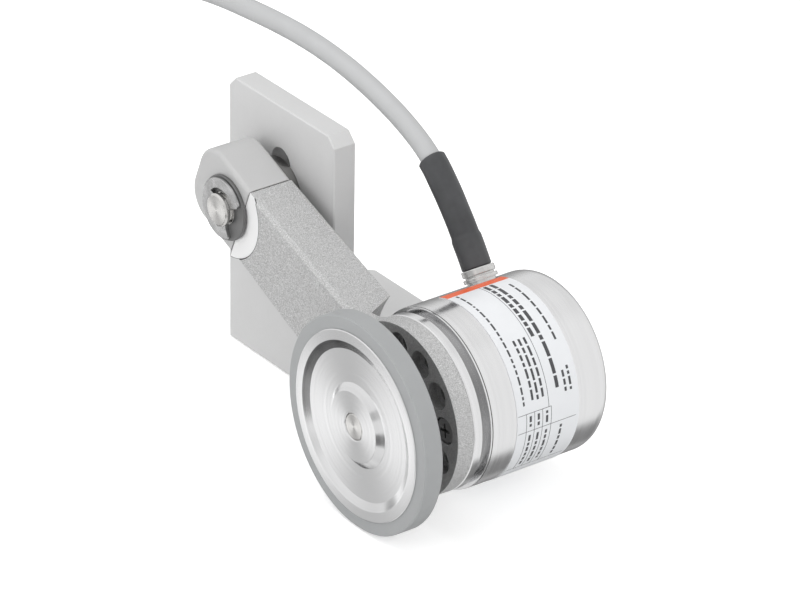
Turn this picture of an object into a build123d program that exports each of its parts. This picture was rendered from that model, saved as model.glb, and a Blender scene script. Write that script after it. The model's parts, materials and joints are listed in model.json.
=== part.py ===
from build123d import *
import math
import os

# Measuring wheel encoder on a spring-loaded arm, millimetres and degrees.
# X runs along the wheel axis from the wheel to the encoder, Z is up, and the arm reaches to -Y.
# The origin is the centre of the bracket foot's underside.

# Mounting bracket
bracket_width = 51.7
bracket_height = 85.6
foot_length = 51.8
plate_thickness = 7.2
plate_chamfer = 3.1
plate_edge = 0.4
bend_radius = 1.5
pin_slot_width = 9.2
pin_slot_above = 13.3
pin_slot_below = 26.0
mount_slot_width = 6.6
mount_slot_length = 12.0
mount_slot_spacing = 26.0

# Wheel and its place
wheel_circumference = 200.0
tyre_thickness = 3.9
tyre_width = 6.1
wheel_drop = 27.3
wheel_reach = 84.4
rim_face_width = 3.1
rim_proud = 0.5
rim_slope = 2.55
rim_back_slope = 0.5
wheel_edge = 0.25
tyre_edge = 0.35
web_dish = 0.45
web_thickness = 2.6
web_fall = 0.2
boss_radius = 10.4
boss_slope = 2.1
boss_proud = 1.0
rear_boss_radius = 8.5
rear_boss_gap = 2.4
wheel_to_arm_gap = 9.7
grub_radius = 2.0
grub_length = 4.4
grub_socket = 1.0

# Arm and pivot cap
arm_thickness = 14.6
arm_to_plate_gap = 4.2
hub_radius = 25.5
hub_thickness = 5.5
arm_direction = 22.0
cap_above = 12.7
cap_below = 12.3
cap_behind = 16.5
cap_corner_radius = 8.7
cap_edge_radius = 1.4
cap_wall = 1.5
cap_end = 6.6
arm_inset = 0.3
arm_top_lean = 1.28
arm_bottom_lean = 5.68
arm_blend_radius = 14.0
arm_edge_chamfer = 1.2
eye_face_radius = 15.5
eye_face_depth = 0.35
encoder_pocket_gap = 2.6
encoder_pocket_flare = 3.4
hub_hole_count = 12
hub_hole_circle = 19.2
hub_hole_angle = 6.3
counterbore_radius = 4.0
counterbore_depth = 3.0
hub_hole_radius = 2.2
collar_radius = 10.0
collar_depth = 3.5

# Pivot
pin_radius = 4.95
pin_end_ahead = 3.8
pin_edge = 0.5
pin_collar_radius = 10.2
pin_collar_gap = 0.3
stud_radius = 4.0
stud_beyond_nut = 2.2
nut_chamfer = 0.6
thread_depth = 0.5
thread_pitch = 1.25
washer_radius = 9.8
washer_thickness = 1.07
clip_radius = 9.25
clip_band = 3.0
clip_thickness = 1.2
clip_opening = 88.0
clip_prong_width = 3.6
clip_prong_angle = 62.0
clip_prong_root = 0.5
clip_tip_radius = 1.25
groove_depth = 1.0
clamp_washer_radius = 8.4
clamp_washer_thickness = 1.6
nut_across_flats = 13.0
nut_thickness = 6.5
bush_wall = 1.2
front_bush_length = 4.0
rear_bush_length = 3.3
spring_chamber_radius = 9.0
spring_wire_radius = 0.55
spring_turns = 2.4
spring_pitch = 1.25
spring_radius = 7.2
stop_pin_radius = 1.0
stop_pin_circle = 8.3
swing_range = 20.0

# Encoder
can_radius = 26.5
can_length = 42.3
can_wall = 1.3
can_end_radius = 5.5
flange_radius = 25.6
flange_thickness = 3.2
flange_edge = 0.4
groove_radius = 24.0
groove_width = 2.0
lip_radius = 26.4
lip_width = 0.5
gasket_width = 0.2
gasket_inset = 0.1
spigot_length = 5.0
tube_radius = 14.0
seal_radius = 8.0
seal_width = 4.6
seal_pocket_depth = 5.0
shaft_radius = 4.0
shaft_recess = 0.15
shaft_edge = 0.4
shaft_beyond_disc = 0.5
shoulder_radius = 5.6
bearing_behind_lip = 0.6
bearing_radius = 11.0
bearing_width = 7.0
bearing_spacing = 6.0
bearing_ring_wall = 2.1
ball_radius = 1.95
ball_count = 7
ball_clearance = 0.06
cage_wall = 0.9
cage_width = 4.6
circlip_radius = 6.0
circlip_width = 0.8
circlip_groove_depth = 0.4
circlip_opening = 2.0
disc_hub_radius = 8.0
disc_hub_length = 4.0
disc_seat_depth = 2.0
disc_rim = 1.0
disc_thickness = 1.0
disc_track_inner = 13.5
disc_track_outer = 17.2
disc_slot_count = 24
disc_slot_width = 1.2
board_end_gap = 5.9
board_thickness = 1.6
board_radius = 24.7
spacer_radius = 2.0
spacer_circle = 22.4
spacer_count = 3
spacer_angle = 60.0
board_screw_radius = 1.7
board_screw_height = 1.3
board_screw_slot = 0.5
board_thread_radius = 1.0
sensor_width = 9.0
sensor_depth = 6.0
sensor_gap = 1.0
sensor_edge = 0.6
screw_head_radius = 3.7
screw_head_height = 2.7
screw_head_edge = 0.35
screw_radius = 1.95
screw_depth = 3.0
screw_count = 3
recess_width = 0.9
recess_length = 4.2
recess_depth = 1.2

# Label
label_front_gap = 8.2
label_length = 21.6
label_thickness = 0.12
label_start = 68.0
label_sweep = 225.0

# Cable outlet and cable
outlet_angle = 56.0
outlet_before_can_end = 15.4
gland_radius = 5.0
gland_height = 1.9
gland_sunk = 0.3
gland_flange_lift = 0.45
gland_neck = 4.2
ring_gap = 0.5
gland_ring_height = 1.9
gland_ring_inset = 0.15
gland_edge = 0.25
gland_inside = 1.0
sleeve_wall = 1.35
sleeve_thin_wall = 1.05
sleeve_collar_length = 8.5
sleeve_length = 33.5
cable_radius = 3.0
coil_radius = 32.0
coil_whole_turns = 3
coil_stub = 6.0
coil_edge = 2.4
landing_run = 10.5
tail_stub = 21.0
tie_width = 3.6
tie_thickness = 1.1
tie_corner = 1.0
tie_lock_depth = 1.5
tie_lock_width = 4.7
tie_lock_height = 5.0
tie_lock_sunk = 0.5
tie_angle = 20.0
core_radius = 0.55
lead_core_drop = 1.8
lead_core_bend = 1.2
core_count = 5
core_length = 20.0
core_pitch = 1.15
core_fan = 3.6
ferrule_radius = 0.8
ferrule_length = 7.0
bare_wire_radius = 0.45

# Clearances
running_clearance = 0.05
seat_clearance = 0.02
free_clearance = 0.3

# Small edges of thin rings, how far a cut reaches past its surface, and how near counts as equal
thin_edge = 0.2
overcut = 1.0
tolerance = 0.01

# Places that follow from the sizes
wheel_radius = wheel_circumference / (2 * math.pi)
wheel_z = wheel_radius
wheel_y = -wheel_reach
pivot_z = wheel_radius + wheel_drop
plate_front = -foot_length / 2
plate_back = plate_front + plate_thickness
arm_back = plate_front - arm_to_plate_gap
arm_front = arm_back - arm_thickness
hub_back = arm_front + hub_thickness
tyre_back = arm_front - wheel_to_arm_gap
tyre_front = tyre_back - tyre_width
flange_back = hub_back + flange_thickness
lip_front = flange_back + groove_width
can_front = lip_front + lip_width + gasket_width
can_back = can_front + can_length
can_inside = can_radius - can_wall
collar_front = hub_back - collar_depth
seal_back = collar_front + seal_pocket_depth
first_bearing = lip_front + bearing_behind_lip
second_bearing = first_bearing + bearing_width + bearing_spacing
bearings_end = second_bearing + bearing_width
disc_hub_front = bearings_end + circlip_width + free_clearance
disc_front = disc_hub_front + disc_hub_length - disc_thickness
board_front = can_back - can_wall - board_end_gap - board_thickness
outlet_x = can_back - outlet_before_can_end
ball_circle = (shaft_radius + bearing_radius) / 2
disc_radius = disc_track_outer + disc_rim

# Cable route from inside the outlet to the coil: distance along the outlet, then hand-placed points
cable_start = can_inside - gland_inside
first_run = 10.5
arc_share = 0.45
route_free = [
    (outlet_x, -54.0, 74.3),
    (outlet_x, -44.9, 83.0),
    (outlet_x, -33.0, 88.5),
    (outlet_x, -19.0, 92.4),
    (outlet_x, -3.0, 95.2),
    (outlet_x, 15.0, 96.2),
    (outlet_x, 35.0, 95.2),
    (-8.0, 63.8, 93.3),
    (-15.0, 93.5, 89.5),
    (-23.9, 121.3, 82.5),
    (-32.3, 146.0, 68.5),
    (-36.3, 157.3, 54.9),
    (-39.9, 167.6, 42.1),
    (-43.4, 178.0, 31.5),
    (-47.1, 187.8, 25.7),
]
coil_centre = (-26.5, 225.0)
coil_inlet_angle = 200.0
coil_tail_angle = 90.0


def along_x(radius, start, end, y=0.0, z=0.0):
    """Round bar along X from start to end."""
    bar = Cylinder(radius, end - start, align=(Align.CENTER, Align.CENTER, Align.MIN))
    return Pos(start, y, z) * Rot(0, 90, 0) * bar


def ring_x(outer, inner, start, end, y=0.0, z=0.0):
    """Round ring along X from start to end."""
    return along_x(outer, start, end, y, z) - along_x(inner, start - overcut, end + overcut, y, z)


def turned(outline, y=0.0, z=0.0):
    """Body turned about the X line through (y, z); the outline holds (x, radius) corners."""
    face = make_face(Polyline(*outline, close=True))
    return Pos(0, y, z) * revolve(face, Axis.X, 360)


def rims(shape, radius):
    """Round edges of a given radius."""
    circles = shape.edges().filter_by(GeomType.CIRCLE)
    return [edge for edge in circles if abs(edge.radius - radius) < tolerance]


def on_wheel_axis(shape):
    """Moves a shape from the X axis to the wheel's axis."""
    return Pos(0, wheel_y, wheel_z) * shape


def on_pivot(shape):
    """Moves a shape from the X axis to the pivot's axis."""
    return Pos(0, 0, pivot_z) * shape


def polar(radius, angle):
    """(y, z) of a point round an X axis; the angle runs from +Y towards +Z."""
    return radius * math.cos(math.radians(angle)), radius * math.sin(math.radians(angle))


def arm_frame(reach, height):
    """(y, z) relative to the pivot of a point on the arm: reach towards the hub, height above it."""
    turn = math.radians(arm_direction)
    y = -reach * math.cos(turn) - height * math.sin(turn)
    z = -reach * math.sin(turn) + height * math.cos(turn)
    return y, z


def across_x(sketch, start, end):
    """Extrudes a sketch that lies in the YZ plane from start to end along X."""
    return Pos(start, 0, 0) * extrude(sketch, end - start)


def yz(shape):
    """Lays a sketch drawn in plain x and y on the YZ plane."""
    return Plane.YZ * shape


def mounting_bracket():
    """L-shaped bracket: upright plate with the pin slot, foot with two bolt slots."""
    low = (Align.MIN, Align.CENTER, Align.MIN)
    plate = Pos(plate_front, 0, 0) * Box(plate_thickness, bracket_width, bracket_height, align=low)
    top = plate.edges().filter_by(Axis.X).group_by(Axis.Z)[-1]
    plate = chamfer(top, plate_chamfer)
    foot = Pos(plate_front, 0, 0) * Box(foot_length, bracket_width, plate_thickness, align=low)
    far = foot.edges().filter_by(Axis.Z).group_by(Axis.X)[-1]
    foot = chamfer(far, plate_chamfer)
    body = plate + foot
    inner = [edge for edge in body.edges().filter_by(Axis.Y) if is_at(edge, plate_back, plate_thickness)]
    body = fillet(inner, bend_radius)
    front = body.faces().sort_by(Axis.X)[0].edges()
    back = body.faces().filter_by(Axis.X).sort_by(Axis.X)[-1].edges()
    body = chamfer(front + back, plate_edge)
    return body - pin_slot() - mount_slots()


def is_at(edge, x, z):
    """True for an edge whose middle lies at x and z."""
    middle = edge.center()
    return abs(middle.X - x) < tolerance and abs(middle.Z - z) < tolerance


def pin_slot():
    """Upright slot that the pin's stud is clamped in."""
    length = pin_slot_above + pin_slot_below
    middle = pivot_z + (pin_slot_above - pin_slot_below) / 2
    slot = Pos(0, middle) * SlotOverall(length, pin_slot_width, rotation=90)
    return across_x(yz(slot), plate_front - overcut, plate_back + overcut)


def mount_slots():
    """Two slots in the foot that run along Y."""
    slots = Sketch()
    for side in (-1, 1):
        place = Pos(0, side * mount_slot_spacing / 2)
        slots += place * SlotOverall(mount_slot_length, mount_slot_width, rotation=90)
    return Pos(0, 0, -overcut) * extrude(slots, plate_thickness + 2 * overcut)


def pin_outline():
    """(x, radius) corners of the pin from its front end to the end of the stud."""
    front = arm_front - pin_end_ahead
    groove_back = arm_front - washer_thickness
    groove_front = groove_back - clip_thickness - running_clearance
    groove = pin_radius - groove_depth
    collar_front_x = arm_back + pin_collar_gap
    corners = [(front, 0), (front, pin_radius - pin_edge), (front + pin_edge, pin_radius)]
    corners += [(groove_front, pin_radius), (groove_front, groove)]
    corners += [(groove_back, groove), (groove_back, pin_radius)]
    corners += [(collar_front_x, pin_radius), (collar_front_x, pin_collar_radius)]
    corners += [(plate_front, pin_collar_radius), (plate_front, stud_radius)]
    return corners + thread_outline()


def thread_outline():
    """(x, radius) corners of the stud behind the plate, with ridges like a thread's."""
    start = plate_back
    end = stud_end()
    ridges = int((end - start) / thread_pitch) - 1
    corners = [(start, stud_radius)]
    for index in range(ridges):
        x = start + index * thread_pitch
        corners.append((x + thread_pitch / 2, stud_radius - thread_depth))
        corners.append((x + thread_pitch, stud_radius))
    return corners + [(end - thread_depth, stud_radius), (end, stud_radius - thread_depth), (end, 0)]


def stud_end():
    """X of the stud's far end."""
    return plate_back + clamp_washer_thickness + nut_thickness + stud_beyond_nut


def pivot_pin():
    """Turned pin: clip groove, running surface, collar with the stop's hole, threaded stud."""
    pin = on_pivot(turned(pin_outline()))
    y, z = polar(stop_pin_circle, stop_angle())
    hole = along_x(stop_pin_radius + seat_clearance, arm_back, plate_front, y, z)
    return pin - on_pivot(hole)


def stop_angle():
    """Angle of the stop pin round the pivot, straight below the cap's middle."""
    return arm_direction - 90.0


def stop_pin():
    """Dowel in the pin's collar; its front end runs in the cap's curved slot."""
    y, z = polar(stop_pin_circle, stop_angle())
    start = arm_back - cap_wall + running_clearance
    return on_pivot(along_x(stop_pin_radius, start, plate_front - seat_clearance, y, z))


def stop_slot():
    """Curved slot in the cap that lets the arm swing through its range."""
    half_width = stop_pin_radius + running_clearance
    edge = math.degrees((stop_pin_radius + 2 * running_clearance) / stop_pin_circle)
    inner = stop_pin_circle - half_width
    outer = stop_pin_circle + half_width
    start = arm_back - cap_wall - overcut
    end = arm_back + overcut
    corners = [(start, inner), (end, inner), (end, outer), (start, outer)]
    face = make_face(Polyline(*corners, close=True))
    sector = revolve(face, Axis.X, swing_range + 2 * edge)
    return on_pivot(Rot(stop_angle() - edge, 0, 0) * sector)


def pivot_washer():
    """Dark thrust washer between the clip and the cap."""
    start = arm_front - washer_thickness
    washer = ring_x(washer_radius, pin_radius + running_clearance, start, arm_front)
    return on_pivot(fillet(rims(washer, washer_radius), thin_edge))


def retaining_clip():
    """E-clip with three prongs that sit in the pin's groove; it opens towards the arm."""
    inner = clip_radius - clip_band
    prong_end = pin_radius - groove_depth + seat_clearance
    band = Circle(clip_radius) - Circle(inner)
    mouth = Polygon((0, 0), *mouth_corners(), align=None)
    clip = band - mouth
    for angle in (180.0, clip_prong_angle, -clip_prong_angle):
        length = inner + 2 * clip_prong_root - prong_end
        prong = Pos(prong_end + length / 2, 0) * Rectangle(length, clip_prong_width)
        clip += Rot(0, 0, angle) * prong
    clip -= Circle(prong_end)
    tips = [corner for corner in clip.vertices() if math.hypot(corner.X, corner.Y) > clip_radius - tolerance]
    clip = fillet(tips, clip_tip_radius)
    start = arm_front - washer_thickness - clip_thickness
    end = start + clip_thickness
    disc = along_x(clip_radius, start, end)
    disc = chamfer(rims(disc, clip_radius), thin_edge)
    solid = across_x(yz(clip), start, end) & disc
    return on_pivot(Rot(180.0 + arm_direction, 0, 0) * solid)


def mouth_corners():
    """Corners of the wedge that opens the clip, well outside its band."""
    half = math.radians(clip_opening / 2)
    reach = clip_radius * 2
    return [
        (reach * math.cos(half), -reach * math.sin(half)),
        (reach * math.cos(half), reach * math.sin(half)),
    ]


def clamp_washer():
    """Plain washer behind the plate."""
    end = plate_back + clamp_washer_thickness
    ring = ring_x(clamp_washer_radius, stud_radius + free_clearance, plate_back, end)
    return on_pivot(chamfer(rims(ring, clamp_washer_radius), thin_edge))


def clamp_nut():
    """Hexagon nut on the stud, chamfered at both ends."""
    start = plate_back + clamp_washer_thickness
    corner = nut_across_flats / 2 / math.cos(math.radians(30))
    end = start + nut_thickness
    hexagon = across_x(yz(RegularPolygon(corner, 6)), start, end)
    face = corner - nut_chamfer / math.tan(math.radians(30))
    blank = [(start, 0), (start, face), (start + nut_chamfer, corner)]
    blank += [(end - nut_chamfer, corner), (end, face), (end, 0)]
    bore = along_x(stud_radius + running_clearance, start - overcut, end + overcut)
    return on_pivot((hexagon & turned(blank)) - bore)


def arm_outline():
    """Side view of the casting about the pivot: eye, tapering bar and hub, without the seam's far side."""
    top_start = Vector(*arm_frame(cap_end, cap_above - arm_inset))
    bottom_start = Vector(*arm_frame(cap_end, arm_inset - cap_below))
    length = wheel_reach - hub_radius / 2
    line = math.atan2(wheel_drop, wheel_reach)
    top = line + math.radians(arm_top_lean)
    bottom = line + math.radians(arm_bottom_lean)
    top_end = top_start + Vector(-math.cos(top), -math.sin(top)) * length
    bottom_end = bottom_start + Vector(-math.cos(bottom), -math.sin(bottom)) * length
    bar = make_face(Polyline(top_start, top_end, bottom_end, bottom_start, close=True))
    hub = Pos(wheel_y, -wheel_drop) * Circle(hub_radius)
    shape = bar + hub
    corners = [corner for corner in shape.vertices() if is_on_hub(corner)]
    return fillet(corners, arm_blend_radius)


def is_on_hub(vertex):
    """True for a corner on the hub's circle that lies towards the pivot."""
    distance = math.hypot(vertex.X - wheel_y, vertex.Y + wheel_drop)
    return abs(distance - hub_radius) < tolerance and vertex.X > wheel_y


def eye_outline():
    """Round boss of the eye beside the seam, no higher than the bar."""
    size = 4 * eye_face_radius
    keep = Pos(*arm_frame(cap_end + size / 2, cap_above - arm_inset - size / 2))
    square = keep * Rot(0, 0, arm_direction) * Rectangle(size, size)
    return Circle(eye_face_radius) & square


def tongue(clearance):
    """Part of the casting inside the cap, or with a clearance the space for it."""
    radius = cap_below - cap_wall + clearance
    reach = cap_end + overcut
    join = Pos(*arm_frame(reach / 2, 0)) * Rot(0, 0, arm_direction) * Rectangle(reach, 2 * radius)
    outline = Circle(radius) + join
    start = arm_front + cap_wall - clearance
    end = arm_back - cap_wall + clearance
    return across_x(yz(outline), start, end)


def arm_casting():
    """Cast arm: eye with the bushes' bores, bar, and hub with counterbored holes."""
    bar = across_x(yz(arm_outline()), arm_front, arm_back)
    front = bar.faces().sort_by(Axis.X)[0]
    seam = Vector(0, *arm_frame(cap_end, 0))
    edges = front.edges().filter_by(lambda edge: (edge.center() - seam).length > cap_end + overcut)
    bar = chamfer(edges, arm_edge_chamfer)
    bar += across_x(yz(eye_outline()), arm_front, arm_back)
    hub = Pos(0, wheel_y, -wheel_drop) * along_x(hub_radius, arm_front, hub_back)
    body = on_pivot(bar + hub + tongue(0))
    body -= encoder_pocket()
    eye_face = along_x(eye_face_radius, arm_front - overcut, arm_front + eye_face_depth)
    body -= on_pivot(eye_face - seam_side())
    body -= on_pivot(eye_bores())
    return body - hub_holes() - on_wheel_axis(hub_bore())


def seam_side():
    """Block on the cap's side of the seam, so that the machined face stops there."""
    size = 6 * eye_face_radius
    place = Pos(*arm_frame(cap_end - size / 2, 0)) * Rot(0, 0, arm_direction)
    return across_x(yz(place * Rectangle(size, size)), arm_front - 2 * overcut, arm_back)


def eye_bores():
    """Bore for the front bush and the spring's chamber, open at the back."""
    front = arm_front + cap_wall
    step = front + front_bush_length
    bush_radius = pin_radius + running_clearance + bush_wall + seat_clearance
    bush = along_x(bush_radius, front - overcut, step + overcut)
    return bush + along_x(spring_chamber_radius, step, arm_back + overcut)


def encoder_pocket():
    """Flared round pocket behind the hub, clear of the encoder."""
    inner = can_radius + encoder_pocket_gap
    slope = encoder_pocket_flare / (arm_back - hub_back)
    end = arm_back + overcut
    outer = inner + slope * (end - hub_back)
    return on_wheel_axis(turned([(hub_back, 0), (hub_back, inner), (end, outer), (end, 0)]))


def hub_bore():
    """Central bore that the encoder's collar fits."""
    return along_x(collar_radius + running_clearance, arm_front - overcut, hub_back + overcut)


def hub_angles(count):
    """Angles of evenly spaced hub holes, measured from the arm's far side."""
    return [180.0 - hub_hole_angle - index * 360.0 / count for index in range(count)]


def hub_holes():
    """Ring of counterbored holes through the hub."""
    holes = []
    for angle in hub_angles(hub_hole_count):
        y, z = polar(hub_hole_circle, angle)
        holes.append(along_x(counterbore_radius, arm_front - overcut, arm_front + counterbore_depth, y, z))
        holes.append(along_x(hub_hole_radius, arm_front, hub_back + overcut, y, z))
    return on_wheel_axis(Part() + holes)


def cap_outline():
    """Side view of the cap about the pivot, with large corners at the back end."""
    corners = [(cap_end, cap_above), (-cap_behind, cap_above)]
    corners += [(-cap_behind, -cap_below), (cap_end, -cap_below)]
    points = [arm_frame(reach, height) for reach, height in corners]
    face = make_face(Polyline(*points, close=True))
    seam = Vector(*arm_frame(cap_end, 0))
    back = [corner for corner in face.vertices() if (Vector(corner.X, corner.Y) - seam).length > cap_behind]
    return fillet(back, cap_corner_radius)


def pivot_cap():
    """Smooth cap round the arm's eye, with soft outer edges and a pocket for the eye."""
    body = across_x(yz(cap_outline()), arm_front, arm_back)
    seam = Vector(0, *arm_frame(cap_end, 0))
    ends = body.faces().sort_by(Axis.X)
    outer_edges = [edge for edge in ends[0].edges() + ends[-1].edges() if not is_seam_edge(edge, seam)]
    body = fillet(outer_edges, cap_edge_radius)
    body -= tongue(seat_clearance)
    body -= along_x(pin_radius + free_clearance, arm_front - overcut, arm_back + overcut)
    return on_pivot(body) - stop_slot()


def is_seam_edge(edge, seam):
    """True for the straight edges where the cap meets the bar."""
    middle = edge.center()
    return (Vector(0, middle.Y, middle.Z) - seam).length < overcut


def front_bush():
    """Plain bearing in the eye's front bore."""
    inner = pin_radius + running_clearance
    start = arm_front + cap_wall
    return on_pivot(ring_x(inner + bush_wall, inner, start, start + front_bush_length))


def rear_bush():
    """Wide plain bearing that closes the spring's chamber."""
    inner = pin_radius + running_clearance
    end = arm_back - cap_wall
    return on_pivot(ring_x(spring_chamber_radius - seat_clearance, inner, end - rear_bush_length, end))


def torsion_spring():
    """Torsion spring round the pin inside the eye."""
    start = arm_front + cap_wall + front_bush_length + spring_wire_radius + seat_clearance
    helix = Helix(spring_pitch, spring_pitch * spring_turns, spring_radius)
    section = Plane(origin=helix @ 0, z_dir=helix % 0) * Circle(spring_wire_radius)
    coil = sweep(section, path=helix, is_frenet=True)
    return on_pivot(Pos(start, 0, 0) * Rot(0, 90, 0) * coil)


def wheel_disc():
    """Turned wheel: raised rim face, dished web, boss, and a rear boss for the grub screw."""
    rim = wheel_radius - tyre_thickness
    rim_inner = rim - rim_face_width
    web = rim_inner - rim_slope
    face = tyre_front - rim_proud
    floor = tyre_front + web_dish
    web_back = floor + web_fall + web_thickness
    boss_face = tyre_front - boss_proud
    boss_foot = boss_radius + boss_slope
    rear = arm_front - rear_boss_gap
    bore = shaft_radius + seat_clearance
    edge = wheel_edge
    corners = [(boss_face, bore + edge), (boss_face, boss_radius), (floor + web_fall, boss_foot)]
    corners += [(floor, web), (face, rim_inner), (face, rim - edge), (face + edge, rim), (tyre_back, rim)]
    corners += [(tyre_back, rim_inner + rim_back_slope), (web_back, web), (web_back, rear_boss_radius)]
    corners += [(rear - edge, rear_boss_radius), (rear, rear_boss_radius - edge), (rear, bore)]
    corners += [(boss_face + edge, bore)]
    return on_wheel_axis(turned(corners)) - grub_hole()


def grub_place():
    """X of the grub screw's centre in the rear boss."""
    return (tyre_back + arm_front - rear_boss_gap) / 2


def grub_hole():
    """Radial hole for the grub screw, straight down."""
    depth = rear_boss_radius + overcut
    hole = Pos(grub_place(), 0, 0) * Cylinder(grub_radius + seat_clearance, depth, align=hang())
    return on_wheel_axis(hole)


def hang():
    """Alignment of a shape that hangs down from its place."""
    return Align.CENTER, Align.CENTER, Align.MAX


def grub_screw():
    """Socket set screw that presses on the shaft."""
    top = shaft_radius + seat_clearance
    screw = Pos(grub_place(), 0, -top) * Cylinder(grub_radius, grub_length, align=hang())
    hexagon = extrude(RegularPolygon(grub_socket, 6), grub_length / 2)
    return on_wheel_axis(screw - Pos(grub_place(), 0, -top - grub_length) * hexagon)


def tyre():
    """Rubber ring on the wheel's rim."""
    inner = wheel_radius - tyre_thickness + seat_clearance
    shoulder = wheel_radius - tyre_edge
    corners = [(tyre_front, inner), (tyre_front, shoulder), (tyre_front + tyre_edge, wheel_radius)]
    corners += [(tyre_back - tyre_edge, wheel_radius), (tyre_back, shoulder), (tyre_back, inner)]
    return on_wheel_axis(turned(corners))


def encoder_flange():
    """Turned flange: collar with the seal's pocket, visible ring and groove, spigot, bearing tube."""
    spigot_end = can_front + spigot_length
    tube_end = bearings_end + free_clearance
    seal_bore = seal_radius + seat_clearance
    ball_bore = bearing_radius + seat_clearance
    neck = shoulder_radius + free_clearance
    corners = [(collar_front, seal_bore), (collar_front, collar_radius), (hub_back, collar_radius)]
    corners += [(hub_back, flange_radius - flange_edge), (hub_back + flange_edge, flange_radius)]
    corners += [(flange_back - flange_edge, flange_radius), (flange_back, flange_radius - flange_edge)]
    corners += [(flange_back, groove_radius), (lip_front, groove_radius), (lip_front, lip_radius)]
    corners += [(lip_front + lip_width, lip_radius), (lip_front + lip_width, can_inside - seat_clearance)]
    corners += [(spigot_end, can_inside - seat_clearance), (spigot_end, tube_radius)]
    corners += [(tube_end, tube_radius), (tube_end, ball_bore), (first_bearing, ball_bore)]
    corners += [(first_bearing, neck), (seal_back, neck), (seal_back, seal_bore)]
    body = on_wheel_axis(turned(corners))
    for angle in hub_angles(screw_count):
        y, z = polar(hub_hole_circle, angle)
        hole = along_x(screw_radius + seat_clearance, hub_back - overcut, hub_back + screw_depth, y, z)
        body -= on_wheel_axis(hole)
    return body


def flange_screws():
    """Screws with cross recesses, sunk in the hub's counterbores and held by the flange."""
    screws = []
    head_front = arm_front + counterbore_depth - screw_head_height
    head_back = arm_front + counterbore_depth
    for angle in hub_angles(screw_count):
        y, z = polar(hub_hole_circle, angle)
        head = along_x(screw_head_radius, head_front, head_back, y, z)
        head = chamfer(head.edges().group_by(Axis.X)[0], screw_head_edge)
        shank = along_x(screw_radius, head_back, hub_back + screw_depth - free_clearance, y, z)
        cross = Box(recess_depth, recess_length, recess_width)
        cross += Box(recess_depth, recess_width, recess_length)
        cross = Pos(head_front + recess_depth / 2, y, z) * Rot(angle, 0, 0) * cross
        screws.append(on_wheel_axis(head + shank - cross))
    return Compound(children=screws)


def shaft_seal():
    """Lip seal between the flange and the shaft."""
    start = collar_front + free_clearance
    return on_wheel_axis(ring_x(seal_radius, shaft_radius + running_clearance, start, start + seal_width))


def encoder_shaft():
    """Stepped shaft through the wheel, the seal and both bearings."""
    front = tyre_front - boss_proud + shaft_recess
    shoulder_front = first_bearing + bearing_width
    groove = bearings_end
    groove_radius_inside = shaft_radius - circlip_groove_depth
    end = disc_hub_front + disc_hub_length + shaft_beyond_disc
    corners = [(front, 0), (front, shaft_radius - shaft_edge), (front + shaft_edge, shaft_radius)]
    corners += [(shoulder_front, shaft_radius), (shoulder_front, shoulder_radius)]
    corners += [(second_bearing, shoulder_radius), (second_bearing, shaft_radius)]
    corners += [(groove, shaft_radius), (groove, groove_radius_inside)]
    corners += [(groove + circlip_width, groove_radius_inside), (groove + circlip_width, shaft_radius)]
    corners += [(end - shaft_edge, shaft_radius), (end, shaft_radius - shaft_edge), (end, 0)]
    return on_wheel_axis(turned(corners))


def race_groove(start):
    """Round groove that the balls run in, for a bearing that starts there."""
    place = Pos(start + bearing_width / 2, 0, 0) * Rot(0, 90, 0)
    return place * Torus(ball_circle, ball_radius + ball_clearance)


def bearing_outer(start):
    """Outer ring of a ball bearing."""
    outline = ring_x(bearing_radius, bearing_radius - bearing_ring_wall, start, start + bearing_width)
    return on_wheel_axis(outline - race_groove(start))


def bearing_inner(start):
    """Inner ring of a ball bearing."""
    bore = shaft_radius + seat_clearance
    outline = ring_x(shaft_radius + bearing_ring_wall, bore, start, start + bearing_width)
    return on_wheel_axis(outline - race_groove(start))


def ball_places(start):
    """Centres of a bearing's balls."""
    middle = start + bearing_width / 2
    angles = [index * 360.0 / ball_count for index in range(ball_count)]
    return [(middle, *polar(ball_circle, angle)) for angle in angles]


def bearing_balls(start):
    """Balls of a bearing, as separate solids."""
    balls = [Pos(*place) * Sphere(ball_radius) for place in ball_places(start)]
    return on_wheel_axis(Compound(children=balls))


def bearing_cage(start):
    """Ring that keeps a bearing's balls apart."""
    middle = start + bearing_width / 2
    outer = ball_circle + cage_wall / 2
    ring = ring_x(outer, outer - cage_wall, middle - cage_width / 2, middle + cage_width / 2)
    for place in ball_places(start):
        ring -= Pos(*place) * Sphere(ball_radius + ball_clearance)
    return on_wheel_axis(ring)


def shaft_circlip():
    """Open ring in the shaft's groove behind the second bearing."""
    inner = shaft_radius - circlip_groove_depth + seat_clearance
    start = bearings_end + seat_clearance
    end = bearings_end + circlip_width - seat_clearance
    ring = ring_x(circlip_radius, inner, start, end)
    gap = Box(2 * circlip_width, circlip_opening, 2 * circlip_radius)
    gap = Pos((start + end) / 2, 0, circlip_radius) * gap
    return on_wheel_axis(ring - gap)


def disc_hub():
    """Hub that carries the code disc on the shaft's end."""
    bore = shaft_radius + seat_clearance
    back = disc_hub_front + disc_hub_length
    seat = disc_hub_radius - disc_seat_depth
    corners = [(disc_hub_front, bore), (disc_hub_front, disc_hub_radius), (disc_front, disc_hub_radius)]
    corners += [(disc_front, seat), (back, seat), (back, bore)]
    return on_wheel_axis(turned(corners))


def code_disc():
    """Thin code disc with a ring of slots, read by the sensor."""
    seat = disc_hub_radius - disc_seat_depth + seat_clearance
    disc = ring_x(disc_radius, seat, disc_front + seat_clearance, disc_front + disc_thickness)
    slots = []
    slot = Box(2 * disc_thickness, disc_track_outer - disc_track_inner, disc_slot_width)
    slot = Pos(disc_front + disc_thickness / 2, (disc_track_inner + disc_track_outer) / 2, 0) * slot
    for index in range(disc_slot_count):
        slots.append(Rot(index * 360.0 / disc_slot_count, 0, 0) * slot)
    return on_wheel_axis(disc - slots)


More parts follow.
